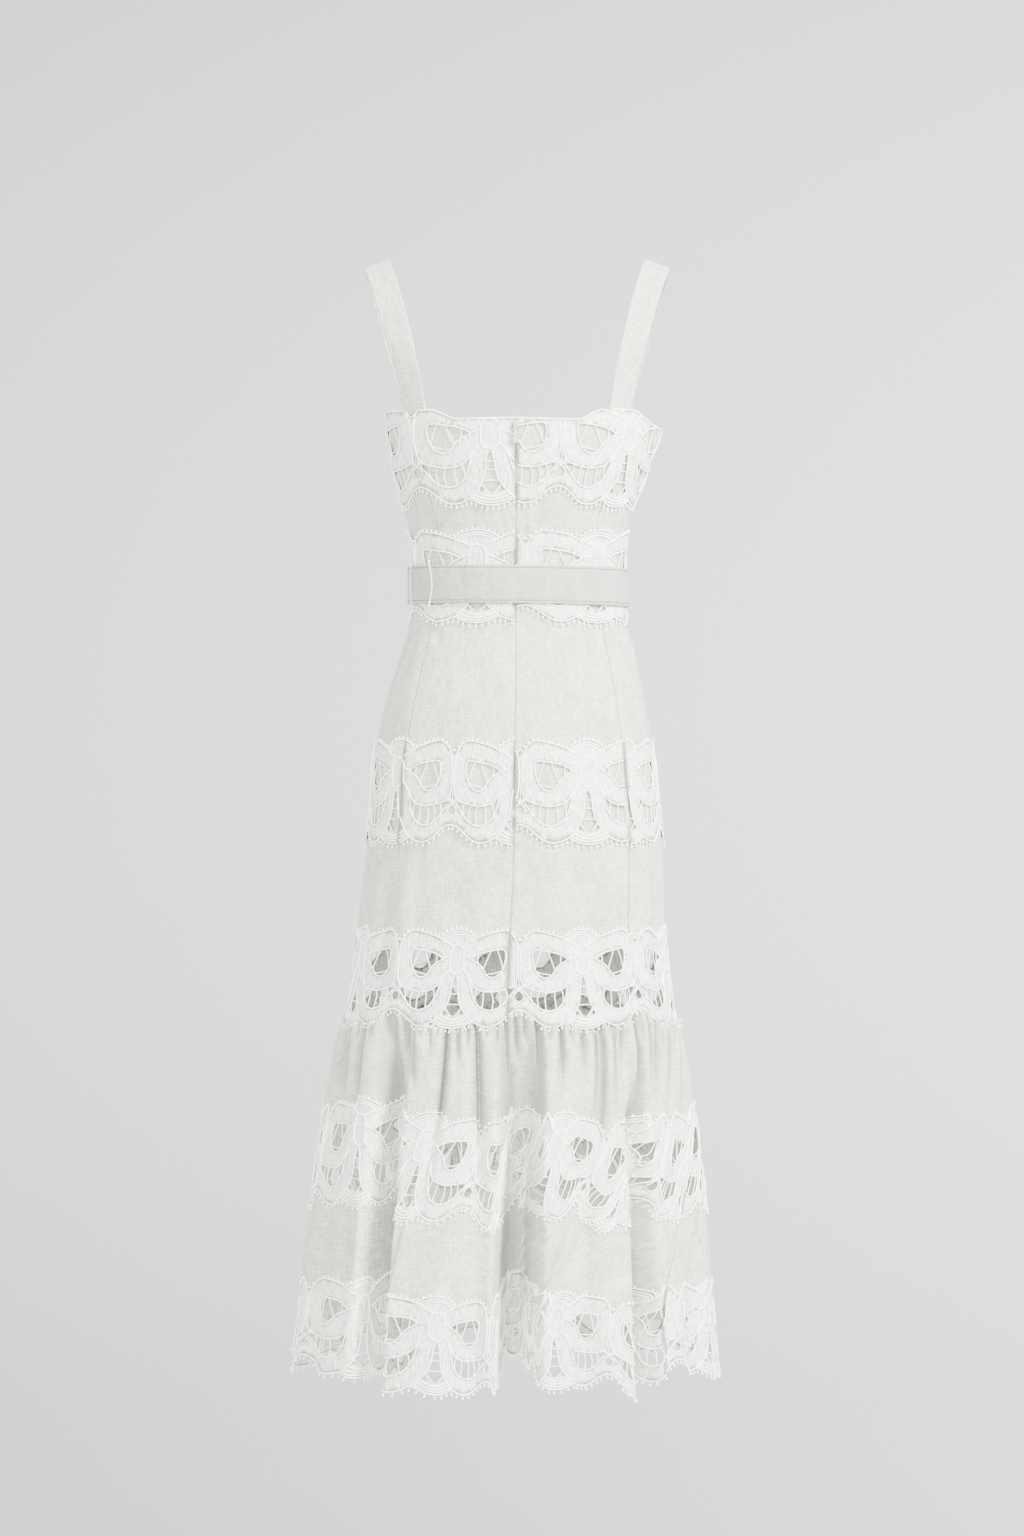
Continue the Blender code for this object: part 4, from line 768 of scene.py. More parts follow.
class LaceBand:
    """One cut length of a lace band: where it lies, and the tape and threads of it."""

    def __init__(self, name, count, ends, out=0.0, ruffled=False, grid=6.0, neck=False, hang=False):
        self.name, self.band, self.count = name, count.band, count
        self.first, self.last = (float(count.bow(end)) for end in ends)
        self.out, self.ruffled, self.grid, self.neck, self.hang = out, ruffled, grid, neck, hang
        self.span = self.last - self.first
        self.width = count.run[-1] * (ends[1] - ends[0]) / self.span
        self.size = np.array([self.width, self.band.height])

    def at(self, bow, v, out, ruffled=None):
        """Points of the lace: the bow count and v are bent a little, because no two bows are alike."""
        bow, v = np.asarray(bow, float), np.asarray(v, float)
        wave = np.sin(UNEVEN_ACROSS * bow + UNEVEN_TILT * v + self.band.down)
        share = self.count.share(bow + UNEVEN_BOW * wave * np.sin(math.pi * np.clip(v, 0, 1)))
        down = self.band.down + self.band.height * (v + UNEVEN_BOW * np.sin(UNEVEN_DOWN * bow + 1.0))
        raised = self.out + out
        if not self.hang:
            raised = raised + lifted(share, down)
        return place(share, down, raised, self.ruffled if ruffled is None else ruffled)

    def top(self, bow):
        edge = line_height(TOP_LINE, bow)
        if self.neck:
            neck = neck_height(self.count.share(np.asarray(bow, float))) + NECK_LACE_INSIDE
            edge = np.maximum(edge, (neck - self.band.down) / self.band.height)
        return edge

    def bow_range(self):
        return range(math.floor(self.first) - 1, math.ceil(self.last) + 1)

    def border(self, step_x, step_y):
        """The edge of this length, point by point: top line, last end, hem line and first end."""
        def cut_end(bow, start, end):
            return [(bow, v) for v in np.linspace(start, end, int(abs(end - start) / step_y) + 2)[1:-1]]

        across = np.linspace(self.first, self.last, int(self.span / step_x) + 2)
        high, low = self.top(across), line_height(HEM_LINE, across)
        made = [*zip(across, high), *cut_end(self.last, high[-1], low[-1])]
        made += [*zip(across[::-1], low[::-1]), *cut_end(self.first, low[0], high[0])]
        return [tuple(map(float, spot)) for spot in made]

    def gap_rings(self, gaps):
        """The edges of all gaps that lie on this length, those past its ends pressed flat on them."""
        made = []
        for bow in self.bow_range():
            for curves, start in gaps:
                for line in curves:
                    x = line[:, 0] + (bow + start)
                    if x.max() > self.first and x.min() < self.last:
                        x = np.clip(x, self.first, self.last)
                        made.append(list(zip(x.tolist(), line[:, 1].tolist())))
        return made

    def ground(self, step_y):
        """Points spread over the tape, every other column of them half a step lower."""
        made = []
        count_x, count_y = max(2, int(self.span * self.width / self.grid)), int(self.band.height / self.grid)
        for k in range(1, count_x):
            bow = self.first + self.span * k / count_x
            high, low = float(self.top(bow)) + step_y, float(line_height(HEM_LINE, bow)) - step_y
            heights = [(j + 0.5 * (k % 2)) / count_y for j in range(1, count_y)]
            made += [(bow, v) for v in heights if high < v < low]
        return made

    def on_tape(self, spots, faces, gaps):
        """Which faces lie on this length and in none of its gaps."""
        x, y = spots[faces].mean(axis=1).T
        kept = (x > self.first) & (x < self.last) & (y > self.top(x)) & (y < line_height(HEM_LINE, x))
        corners = spots[faces] * self.size
        sides = np.linalg.norm(corners - np.roll(corners, 1, axis=1), axis=2)
        kept &= sides.max(axis=1) < LONGEST_SIDE * self.grid
        for curves, start in gaps:
            for line in curves:
                kept &= ~in_polygon(line, (x + (0.5 - start)) % 1.0 - 0.5, y)
        return kept

    def tape(self, skin):
        """The woven tape of the ribbons, cut out at every gap."""
        step_x, step_y = EDGE_STEP / self.size
        gaps = [
            ([curve_through(gap, self.size, EDGE_STEP, closed=True)[:-1] for gap in outlines], start)
            for outlines, start in ((KNOT_GAPS, 0.5), (JOIN_GAPS, 0.0))
        ]
        points, edges = [], []
        for ring in [self.border(step_x, step_y)] + self.gap_rings(gaps):
            edges += [(len(points) + i, len(points) + (i + 1) % len(ring)) for i in range(len(ring))]
            points += ring
        points += self.ground(step_y)
        flat = [Vector((x * self.width, y * self.band.height)) for x, y in points]
        found, _, faces, *_ = delaunay_2d_cdt(flat, edges, [], 0, SAME_SPOT)
        spots, faces = np.array([tuple(spot) for spot in found]) / self.size, np.array(faces)
        used, faces = np.unique(faces[self.on_tape(spots, faces, gaps)], return_inverse=True)
        spots, faces = spots[used], faces.reshape(-1, 3)[:, [0, 2, 1]]
        sides = np.sort(np.stack([faces, np.roll(faces, 1, axis=1)], axis=-1).reshape(-1, 2), axis=1)
        sides, uses = np.unique(sides, axis=0, return_counts=True)
        # Painted shade: the tape's rim points, beside the cords and at its edges, are marked for a darker
        # colour.
        rim = np.zeros(len(spots))
        rim[sides[uses == 1].ravel()] = 1.0
        flat = spots * self.size
        corner, second, third = flat[faces].transpose(1, 0, 2)
        self.tape_area = np.abs(np.cross(second - corner, third - corner)).sum() / 2 * MM * MM
        outer, inner = (self.at(spots[:, 0], spots[:, 1], out) for out in (TAPE_WALL / 2, -TAPE_WALL / 2))
        return shell(self.name, outer, inner, faces.tolist(), skin, np.column_stack([flat, rim]))

    def threads(self, skin):
        """Outline cords, bars and picots over the tape."""
        pairs = (LOOP_TOP, LOOP_UNDER, EYE_STEM, CRESCENT_LOW, TAIL_INNER)
        cords = ARCS + [line for pair in pairs for line in both(pair)] + FOOT_ARCS + both(HEM_LINE)
        knot_lines = [(line, CORD, False) for line in cords]
        knot_lines += [(line, CORD, True) for line in [KNOT] + both(EYE)]
        bars = TAIL_BARS + [bar for line in EYE_BARS + CRESCENT_BARS for bar in both(line)]
        knot_lines += [(line, BAR, False) for line in bars]
        join_lines = [(line, BAR, False) for line in JOIN_THREADS] + [(JOIN_GAP, BAR, True)]
        flat, radii = [], []
        for lines, start in ((knot_lines, 0.5), (join_lines, 0.0)):
            for line, thread, closed in lines:
                path = curve_through(line, self.size, thread.step, closed)
                height = TAPE_WALL / 2 + thread.radius * thread.raised
                for bow in self.bow_range():
                    pieces = self.cut(path + [start + bow, 0])
                    flat += [np.column_stack([piece, np.full(len(piece), height)]) for piece in pieces]
                    radii += [thread.radius] * len(pieces)
        if self.neck:
            across = np.linspace(self.first, self.last, int(self.span * self.width / CORD.step))
            flat.append(np.column_stack([across, self.top(across), np.full(len(across), TAPE_WALL / 2)]))
            radii.append(CORD.radius)
        points = self.at(*np.vstack(flat).T)
        work = ThreadWork()
        for path, radius in zip(np.split(points, np.cumsum([len(line) for line in flat])[:-1]), radii):
            work.add(path, radius)
        self.picots(work, TOP_LINE, -1, TOP_PICOT_PITCH, TOP_PICOT_LENGTH, TOP_BEAD)
        self.picots(work, HEM_LINE, 1, LOW_PICOT_PITCH, LOW_PICOT_LENGTH, LOW_BEAD)
        return work.finish(self.name + "_threads", skin)

    def cut(self, path):
        """The stretches of one thread that lie on this length of lace."""
        inside = (path[:, 0] >= self.first) & (path[:, 0] <= self.last)
        if self.neck:
            inside &= path[:, 1] > self.top(path[:, 0])
        starts = np.flatnonzero(inside & ~np.concatenate([[False], inside[:-1]]))
        ends = np.flatnonzero(inside & ~np.concatenate([inside[1:], [False]]))
        return [path[a:b + 1] for a, b in zip(starts, ends) if b > a]

    def picots(self, work, line, way, pitch, length, bead):
        """Beads on the top line, or beads on short stalks from the hem line; way is -1 up and 1 down."""
        full = mirrored(line[:0:-1]) + line
        whole = run_along(curve_through(full, self.size, PICOT_FINE) * self.size)[-1]
        path = curve_through(full, self.size, whole / int(whole / pitch))
        path = (path[1:] + path[:-1]) / 2
        ahead = unit(np.gradient(path, axis=0) * self.size)
        away = np.column_stack([-ahead[:, 1], ahead[:, 0]]) * way
        away[:, 0] *= PICOT_ASIDE
        roots, tips = [], []
        for bow in self.bow_range():
            root = path + [bow + 0.5, 0]
            swing = np.sin(np.arange(len(path)) * PICOT_SWING_STEP + bow * PICOT_SWING_BOW) * PICOT_SWING
            reach = away * length * (1 + PICOT_UNEVEN * swing[:, None]) + np.column_stack([swing, swing * 0])
            keep = (root[:, 0] > self.first + PICOT_END_GAP) & (root[:, 0] < self.last - PICOT_END_GAP)
            if self.neck:
                keep &= root[:, 1] > self.top(root[:, 0]) + PICOT_NECK_GAP
            roots.append(root[keep])
            tips.append((root + reach / self.size)[keep])
        roots, tips = np.vstack(roots), np.vstack(tips)
        if not len(roots):
            return
        foot = self.at(*roots.T, TAPE_WALL / 2)
        if self.hang and way > 0:
            head = self.at(*tips.T, PICOT_HEIGHT + PICOT_OVER_FLOUNCE, True)
        else:
            head = self.at(*tips.T, PICOT_HEIGHT)
        work.beads(foot, head, bead)


THREAD_SIDES, BEAD_LENGTH = 6, 1.35


class ThreadWork:
    """Paths and bead places of one length of lace, turned into threads by the nodes below."""

    def __init__(self):
        self.points, self.edges, self.radius, self.bead, self.facing = [], [], [], [], []
        self.count = 0

    def gather(self, points, pairs, radius, bead, facing):
        self.points.append(points)
        self.edges.append(np.column_stack(pairs) + self.count)
        self.radius.append(np.full(len(points), radius * MM))
        self.bead.append(bead * MM)
        self.facing.append(facing)
        self.count += len(points)

    def add(self, path, radius):
        n = np.arange(len(path))
        self.gather(path, (n[:-1], n[1:]), radius, n * 0.0, np.tile([0.0, 0.0, 1.0], (len(n), 1)))

    def beads(self, foot, head, size):
        n = np.arange(len(foot))
        bead = np.concatenate([n * 0.0, n * 0.0 + size])
        self.gather(np.vstack([foot, head]), (n, n + len(n)), STALK, bead, np.tile(head - foot, (2, 1)))

    def finish(self, name, skin):
        mesh = bpy.data.meshes.new(name)
        mesh.from_pydata(np.vstack(self.points).tolist(), np.vstack(self.edges).tolist(), [])
        for label, values in (("thread_radius", self.radius), ("bead_radius", self.bead)):
            held = mesh.attributes.new(label, "FLOAT", "POINT")
            held.data.foreach_set("value", np.concatenate(values).astype(np.float32))
        held = mesh.attributes.new("bead_facing", "FLOAT_VECTOR", "POINT")
        held.data.foreach_set("vector", np.vstack(self.facing).astype(np.float32).ravel())
        return grown(name, mesh, THREAD_TREE, {
            "Thread Sides": THREAD_SIDES, "Bead Length": BEAD_LENGTH, "Skin": skin,
        })


# Node trees that grow threads and stitches

class Tree:
    """A node tree written as calls: each adds one node and returns it."""

    def __init__(self, tree):
        self.tree = tree

    def node(self, kind, settings=(), **values):
        made = self.tree.nodes.new(kind)
        for key, value in dict(settings).items():
            setattr(made, key, value)
        for key, value in values.items():
            socket = next(s for s in made.inputs if s.name == key.replace("_", " ") and s.enabled)
            if isinstance(value, bpy.types.NodeSocket):
                self.tree.links.new(value, socket)
            elif isinstance(value, (list, tuple)) and isinstance(value[0], bpy.types.NodeSocket):
                for one in value:
                    self.tree.links.new(one, socket)
            else:
                socket.default_value = value
        return made

    def out(self, kind, settings=(), **values):
        return next(s for s in self.node(kind, settings, **values).outputs if s.enabled)

    def ball(self, radius, size):
        """A round bead, stretched."""
        made = self.out("GeometryNodeMeshUVSphere", Segments=6, Rings=4, Radius=radius)
        return self.out("GeometryNodeTransform", Geometry=made, Scale=size)

    def turned(self, vector):
        return self.out("FunctionNodeAlignRotationToVector", {"axis": "Z"}, Vector=vector)


def new_tree(name, inputs):
    made = bpy.data.node_groups.new(name, "GeometryNodeTree")
    made.interface.new_socket("Geometry", in_out="INPUT", socket_type="NodeSocketGeometry")
    for label, kind in inputs.items():
        made.interface.new_socket(label, in_out="INPUT", socket_type="NodeSocket" + kind)
    made.interface.new_socket("Geometry", in_out="OUTPUT", socket_type="NodeSocketGeometry")
    return Tree(made), {s.name: s for s in made.nodes.new("NodeGroupInput").outputs}


def close_tree(tree, geometry, skin):
    done = tree.out("GeometryNodeRealizeInstances", Geometry=geometry)
    done = tree.out("GeometryNodeSetShadeSmooth", Geometry=done)
    done = tree.out("GeometryNodeSetMaterial", Geometry=done, Material=skin)
    end = tree.tree.nodes.new("NodeGroupOutput")
    tree.tree.links.new(done, end.inputs["Geometry"])
    return tree.tree


def thread_tree():
    """Round threads along the mesh's edges, and a bead at each point that has a bead radius."""
    inputs = {"Thread Sides": "Int", "Bead Length": "Float", "Skin": "Material"}
    tree, given = new_tree("lace_threads", inputs)
    number = {"data_type": "FLOAT"}
    radius = tree.out("GeometryNodeInputNamedAttribute", number, Name="thread_radius")
    bead = tree.out("GeometryNodeInputNamedAttribute", number, Name="bead_radius")
    facing = tree.out("GeometryNodeInputNamedAttribute", {"data_type": "FLOAT_VECTOR"}, Name="bead_facing")
    line = tree.out("GeometryNodeMeshToCurve", Mesh=given["Geometry"])
    length = tree.node("GeometryNodeSplineParameter").outputs["Length"]
    line = tree.out("GeometryNodeStoreNamedAttribute", {"data_type": "FLOAT", "domain": "POINT"},
                    Geometry=line, Name="along_m", Value=length)
    ring = tree.out("GeometryNodeCurvePrimitiveCircle", Resolution=given["Thread Sides"], Radius=1.0)
    threads = tree.out("GeometryNodeCurveToMesh", Curve=line, Profile_Curve=ring, Scale=radius,
                       Fill_Caps=True)
    ball = tree.ball(1.0, tree.out("ShaderNodeCombineXYZ", X=1.0, Y=1.0, Z=given["Bead Length"]))
    compare = {"data_type": "FLOAT", "operation": "GREATER_THAN"}
    has_bead = tree.out("FunctionNodeCompare", compare, A=bead, B=1e-5)
    spots = tree.out("GeometryNodeMeshToPoints", Mesh=given["Geometry"], Selection=has_bead)
    beads = tree.out("GeometryNodeInstanceOnPoints", Points=spots, Instance=ball,
                     Rotation=tree.turned(facing), Scale=bead)
    return close_tree(tree, tree.out("GeometryNodeJoinGeometry", Geometry=[threads, beads]), given["Skin"])


def stitch_tree():
    """Short raised stitches at an even pitch along the mesh's edges."""
    tree, given = new_tree("topstitches", {
        "Pitch": "Float", "Stitch Length": "Float", "Stitch Width": "Float", "Skin": "Material",
    })
    line = tree.out("GeometryNodeMeshToCurve", Mesh=given["Geometry"])
    spots = tree.node("GeometryNodeCurveToPoints", {"mode": "LENGTH"}, Curve=line, Length=given["Pitch"])
    width = given["Stitch Width"]
    ball = tree.ball(0.5, tree.out("ShaderNodeCombineXYZ", X=width, Y=width, Z=given["Stitch Length"]))
    placed = tree.out("GeometryNodeInstanceOnPoints", Points=spots.outputs["Points"], Instance=ball,
                      Rotation=tree.turned(spots.outputs["Tangent"]))
    return close_tree(tree, placed, given["Skin"])


THREAD_TREE = thread_tree()
STITCH_TREE = stitch_tree()


def grown(name, mesh, tree, values):
    """A plain mesh object of what a node tree makes from a mesh."""
    seed = link(bpy.data.objects.new(name + "_seed", mesh))
    modifier = seed.modifiers.new("grow", "NODES")
    modifier.node_group = tree
    for item in tree.interface.items_tree:
        if item.in_out == "INPUT" and item.name in values:
            modifier[item.identifier] = values[item.name]
    ready = seed.evaluated_get(bpy.context.evaluated_depsgraph_get())
    made = link(bpy.data.objects.new(name, bpy.data.meshes.new_from_object(ready)))
    made.data.name = name
    seed.modifiers.remove(modifier)
    bpy.data.objects.remove(seed)
    return made


Stitch = namedtuple("Stitch", "pitch length width")


def stitched(name, lines, stitch, skin):
    """Stitches along lines of points."""
    edges, start = [], 0
    for line in lines:
        edges += [(start + i, start + i + 1) for i in range(len(line) - 1)]
        start += len(line)
    mesh = bpy.data.meshes.new(name)
    mesh.from_pydata(np.vstack(lines).tolist(), edges, [])
    return grown(name, mesh, STITCH_TREE, {
        "Pitch": stitch.pitch * MM, "Stitch Length": stitch.length * MM, "Stitch Width": stitch.width * MM,
        "Skin": skin,
    })


# Finishes

class Value:
    """A shader socket that adds Math nodes when it is used in sums."""

    def __init__(self, tree, socket):
        self.tree, self.socket = tree, socket

    def math(self, operation, *others):
        made = self.tree.nodes.new("ShaderNodeMath")
        made.operation = operation
        for slot, value in zip(made.inputs, (self, *others)):
            if isinstance(value, Value):
                self.tree.links.new(value.socket, slot)
            else:
                slot.default_value = value
        return Value(self.tree, made.outputs[0])

    __add__ = partialmethod(math, "ADD")
    __sub__ = partialmethod(math, "SUBTRACT")
    __mul__ = partialmethod(math, "MULTIPLY")

    def clamped(self):
        return self.math("MAXIMUM", 0).math("MINIMUM", 1)


class Finish(Tree):
    """A material and the nodes that vary it."""

    def __init__(self, name, roughness, sheen=0.0):
        self.material = bpy.data.materials.new(name)
        self.material.use_nodes = True
        super().__init__(self.material.node_tree)
        self.shader = self.tree.nodes["Principled BSDF"]
        self.shader.inputs["Roughness"].default_value = roughness
        self.shader.inputs["Sheen Weight"].default_value = sheen

    def value(self, kind, output, settings=(), **values):
        return Value(self.tree, self.node(kind, settings, **values).outputs[output])

    def pattern(self):
        """The piece's own pattern coordinates, and the painted shade value that is kept beside them."""
        spot = self.node("ShaderNodeAttribute", {"attribute_name": "weave_mm"}).outputs["Vector"]
        return spot, self.value("ShaderNodeSeparateXYZ", "Z", Vector=spot)

    def object_place(self):
        return self.node("ShaderNodeTexCoord").outputs["Object"]

    def noise(self, vector, scale, stretch=(1, 1, 1), turn=0.0, detail=2.0):
        placed = self.node("ShaderNodeMapping", Vector=vector, Rotation=(0, 0, turn), Scale=stretch)
        spot = placed.outputs["Vector"]
        return self.value("ShaderNodeTexNoise", "Fac", Vector=spot, Scale=scale, Detail=detail)

    def coloured(self, colour, shade, amount):
        """Mixes the cloth's colour with a darker one by a value."""
        mixed = self.node("ShaderNodeMix", {"data_type": "RGBA"})
        self.tree.links.new(amount.socket, mixed.inputs["Factor"])
        mixed.inputs[6].default_value = (*colour, 1)
        mixed.inputs[7].default_value = (*shade, 1)
        self.tree.links.new(mixed.outputs[2], self.shader.inputs["Base Color"])

    def bumped(self, height, distance):
        made = self.node("ShaderNodeBump", Strength=1.0, Distance=distance, Height=height.socket)
        self.tree.links.new(made.outputs["Normal"], self.shader.inputs["Normal"])


CRUMPLE = 5.0


def woven(name, colour, shade, thread, depth, slub):
    """Plain weave with a slub here and there, and painted shade in its grooves; thread is its width and
    depth its relief in millimetres.
    """
    made = Finish(name, roughness=0.9, sheen=0.12)
    spot, groove_shade = made.pattern()
    warp = made.noise(spot, 1.0, (1 / thread, 0.12 / thread, 0), detail=1.0)
    weft = made.noise(spot, 1.0, (0.12 / thread, 1 / thread, 0), detail=1.0)
    slubs = made.noise(spot, 1.0, (0.03, 0.8, 0))
    worn = made.noise(spot, 0.02, (1, 1, 0), detail=4.0)
    crumple = made.noise(spot, 0.045, (1, 0.55, 0), turn=0.4, detail=5.0)
    long, short = 0.06 / thread, 0.5 / thread
    grain = made.noise(spot, 1.0, (short, long, 0)) + made.noise(spot, 1.0, (long, short, 0))
    made.bumped((warp + weft) * 0.5 + slubs * slub + grain * 0.6 + crumple * (CRUMPLE / depth), depth * MM)
    # The pattern's third value darkens the colour as painted shade in the gathers' grooves and the belt's
    # stitch grooves.
    dark = worn * 0.5 + grain * 1.5 + slubs * 0.8 + crumple * 0.7 + groove_shade * 0.75 - 2.0
    made.coloured(colour, shade, dark.clamped())
    return made.material


def embroidered(name, colour, shade):
    """Lace tape: close hatching of slanted threads over a fine ground, with painted shade beside the cords
    at its rims.
    """
    made = Finish(name, roughness=0.85, sheen=0.15)
    spot, rim = made.pattern()
    hatch = made.noise(spot, 1.0, (0.55, 0.1, 0), turn=math.radians(52), detail=1.0)
    cross = made.noise(spot, 1.0, (0.13, 0.65, 0), turn=math.radians(28), detail=1.0)
    made.bumped(hatch * 0.7 + cross * 0.3, 2.6 * MM)
    made.coloured(colour, shade, (hatch * 1.9 + cross * 1.0 + rim * rim * 1.5 - 1.25).clamped())
    return made.material


def twisted(name, colour, shade, pitch):
    """Thread: fine strands that wind round it."""
    made = Finish(name, roughness=0.75, sheen=0.15)
    along = made.value("ShaderNodeAttribute", "Fac", {"attribute_name": "along_m"})
    strand = (along * (2 * math.pi / (pitch * MM))).math("SINE") * 0.5 + 0.5
    fuzz = made.noise(made.object_place(), 1900.0, detail=1.0)
    made.bumped(strand * 0.6 + fuzz * 0.4, 0.16 * MM)
    made.coloured(colour, shade, (strand * 0.25 + fuzz * 0.3).clamped())
    return made.material


def enamelled(name, colour):
    """Painted zip metal, worn a little in its hollows."""
    made = Finish(name, roughness=0.38)
    grime = made.noise(made.object_place(), 900.0, detail=3.0)
    made.bumped(grime, 0.05 * MM)
    made.coloured(colour, tuple(c * 0.72 for c in colour), (grime * 1.2 - 0.35).clamped())
    return made.material


LINEN = woven("linen_cotton_cloth", (0.52, 0.529, 0.475), (0.26, 0.266, 0.235), 0.7, 0.5, 0.5)
# The same linen for the inner faces, lighter as painted light.
INSIDE_LINEN_PAINTED_LIGHT = woven("turned_linen_cloth", (0.78, 0.785, 0.74), (0.52, 0.525, 0.49), 0.7, 0.5, 0.5)
BELT_CLOTH = woven("belt_cloth", (0.37, 0.373, 0.34), (0.205, 0.207, 0.188), 0.4, 0.35, 0.25)
LACE_TAPE = embroidered("cutwork_lace_tape", (0.66, 0.668, 0.61), (0.25, 0.255, 0.235))
LACE_THREAD = twisted("cutwork_lace_thread", (0.93, 0.936, 0.88), (0.60, 0.606, 0.57), 1.5)
# Stitch thread for belt and straps, dark as painted shade of the stitch lines.
STITCH_THREAD_PAINTED_SHADE = twisted("belt_thread", (0.12, 0.12, 0.112), (0.07, 0.07, 0.065), 0.8)
SEWING_THREAD = twisted("sewing_thread", (0.72, 0.726, 0.705), (0.55, 0.556, 0.54), 0.8)
ENAMEL = enamelled("zip_enamel", (0.34, 0.34, 0.33))
ZIP_TAPE = woven("zip_tape", (0.62, 0.61, 0.58), (0.52, 0.51, 0.48), 0.4, 0.2, 0.1)


# The pieces

def dressed(piece, slot, *nodes):
    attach(piece, "dress")
    if nodes:
        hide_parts(*nodes)
    return piece


EDGE_TUCK = 3.0
SEAM_HALF_GAP = 0.25
ZIP_HALF_GAP = 0.3
WAIST_GAP = 0.2
LACE_OVER_SKIRT = 1.2
LACE_OVER_FLOUNCE = 1.0
KNEE_LACE_SHRINKS = 0.985


def sewn_ends(first, last):
    """The two ends of a length of cloth, each a little short of its seam, at the zip more than elsewhere."""
    return [
        end + way * (ZIP_HALF_GAP if end == 0.0 else SEAM_HALF_GAP) / GIRTH
        for end, way in ((first, 1), (last, -1))
    ]


def level(down):
    return lambda share: np.full_like(share, down)


# How far apart the points of a panel's mesh are.
Grid = namedtuple("Grid", "across down")
BODICE_GRID, SKIRT_GRID = Grid(5.0, 5.0), Grid(5.0, 6.0)
UPPER_GRID, LOWER_GRID = Grid(1.35, 4.4), Grid(2.2, 4.0)
UPPER_TUCK = 2.2


# The panels of bodice and skirt; flat is the width and height in metres of the sheet each is cut from.
Panel = namedtuple("Panel", "part first last flat")
BODICE = [Panel(*row) for row in (
    ("side_back_left", -0.25, -BODICE_SEAM_SHARE, (0.096, 0.195)),
    ("centre_back_left", -BODICE_SEAM_SHARE, 0.0, (0.1, 0.195)),
    ("centre_back_right", 0.0, BODICE_SEAM_SHARE, (0.1, 0.195)),
    ("side_back_right", BODICE_SEAM_SHARE, 0.25, (0.096, 0.195)),
    ("front", 0.25, 0.75, (0.385, 0.19)),
)]
SKIRT = [Panel(*row) for row in (
    ("side_back_left", SIDE_LEFT, LEFT_SEAM_SHARE, (0.085, 0.385)),
    ("centre_back_left", LEFT_SEAM_SHARE, 0.0, (0.132, 0.38)),
    ("centre_back_right", 0.0, RIGHT_SEAM_SHARE, (0.132, 0.38)),
    ("side_back_right", RIGHT_SEAM_SHARE, SIDE_RIGHT, (0.108, 0.385)),
    ("front", SIDE_RIGHT, ROUND, (0.435, 0.385)),
)]


def make_bodice():
    for row in BODICE:
        name = "bodice_" + row.part
        made = cloth_panel(name + "_cloth", sewn_ends(row.first, row.last), neck_height,
                           level(WAIST_DOWN - WAIST_GAP), BODICE_GRID)
        dressed(made, "linen_cotton_cloth", name)


def make_skirt():
    for row in SKIRT:
        name = "skirt_" + row.part
        made = cloth_panel(name + "_cloth", sewn_ends(row.first, row.last), level(WAIST_DOWN + WAIST_GAP),
                           KNEE_BOW_COUNT.edge(TOP_LINE, LACE_OVER_SKIRT), SKIRT_GRID)
        dressed(made, "linen_cotton_cloth", name)


def make_lace(length, flat):
    tape = length.tape(LACE_TAPE)
    threads = length.threads(LACE_THREAD)
    dressed(tape, "cutwork_lace", length.name.removesuffix("_tape"))
    dressed(threads, "cutwork_lace")
    area = min(length.tape_area, flat[0] * flat[1])


def make_lined_lace():
    out = CAD_WALL + LACE_STANDOFF - LACE_SUNK
    for row in LINED_PIECES:
        count = BowCount(LINED_BANDS[row.band], row.bows, [Mark(row.share_0, 0)])
        length = LaceBand(f"{row.band}_{row.part}_tape", count, sewn_ends(row.first, row.last), out=out,
                          neck=row.band == "lace_top")
        make_lace(length, row.flat)


def make_open_lace():
    knee = (("back_left", SIDE_LEFT, 0.0), ("back_right", 0.0, SIDE_RIGHT), ("front", SIDE_RIGHT, ROUND))
    for part, first, last in knee:
        length = LaceBand(f"lace_knee_{part}_tape", KNEE_BOW_COUNT, sewn_ends(first, last), hang=True)
        make_lace(length, ((last - first) * KNEE_LACE_SHRINKS, BAND_KNEE.height * MM))
    for part, first, last in HALVES:
        ends = sewn_ends(first, last)
        name = f"lace_flounce_{part}_tape"
        length = LaceBand(name, FLOUNCE_BOW_COUNT, ends, ruffled=True, grid=4.5, hang=True)
        make_lace(length, (0.84, BAND_FLOUNCE.height * MM))
        length = LaceBand(f"lace_hem_{part}_tape", HEM_BOW_COUNT, ends, grid=5.0, hang=True)
        make_lace(length, (0.98, BAND_HEM.height * MM))


def make_flounce():
    for part, first, last in HALVES:
        ends = sewn_ends(first, last)
        top = KNEE_BOW_COUNT.edge(HEM_LINE, -EDGE_TUCK)
        bottom = FLOUNCE_BOW_COUNT.edge(TOP_LINE, LACE_OVER_FLOUNCE)
        name = f"flounce_upper_{part}_cloth"
        upper = cloth_panel(name, ends, top, bottom, UPPER_GRID, ruffled=True, tuck=UPPER_TUCK)
        dressed(upper, "linen_cotton_cloth", f"flounce_upper_{part}")
        top = FLOUNCE_BOW_COUNT.edge(HEM_LINE, -LACE_OVER_FLOUNCE)
        bottom = HEM_BOW_COUNT.edge(TOP_LINE, LACE_OVER_FLOUNCE)
        lower = cloth_panel(f"flounce_lower_{part}_cloth", ends, top, bottom, LOWER_GRID, ruffled=True)
        dressed(lower, "linen_cotton_cloth", f"flounce_lower_{part}")


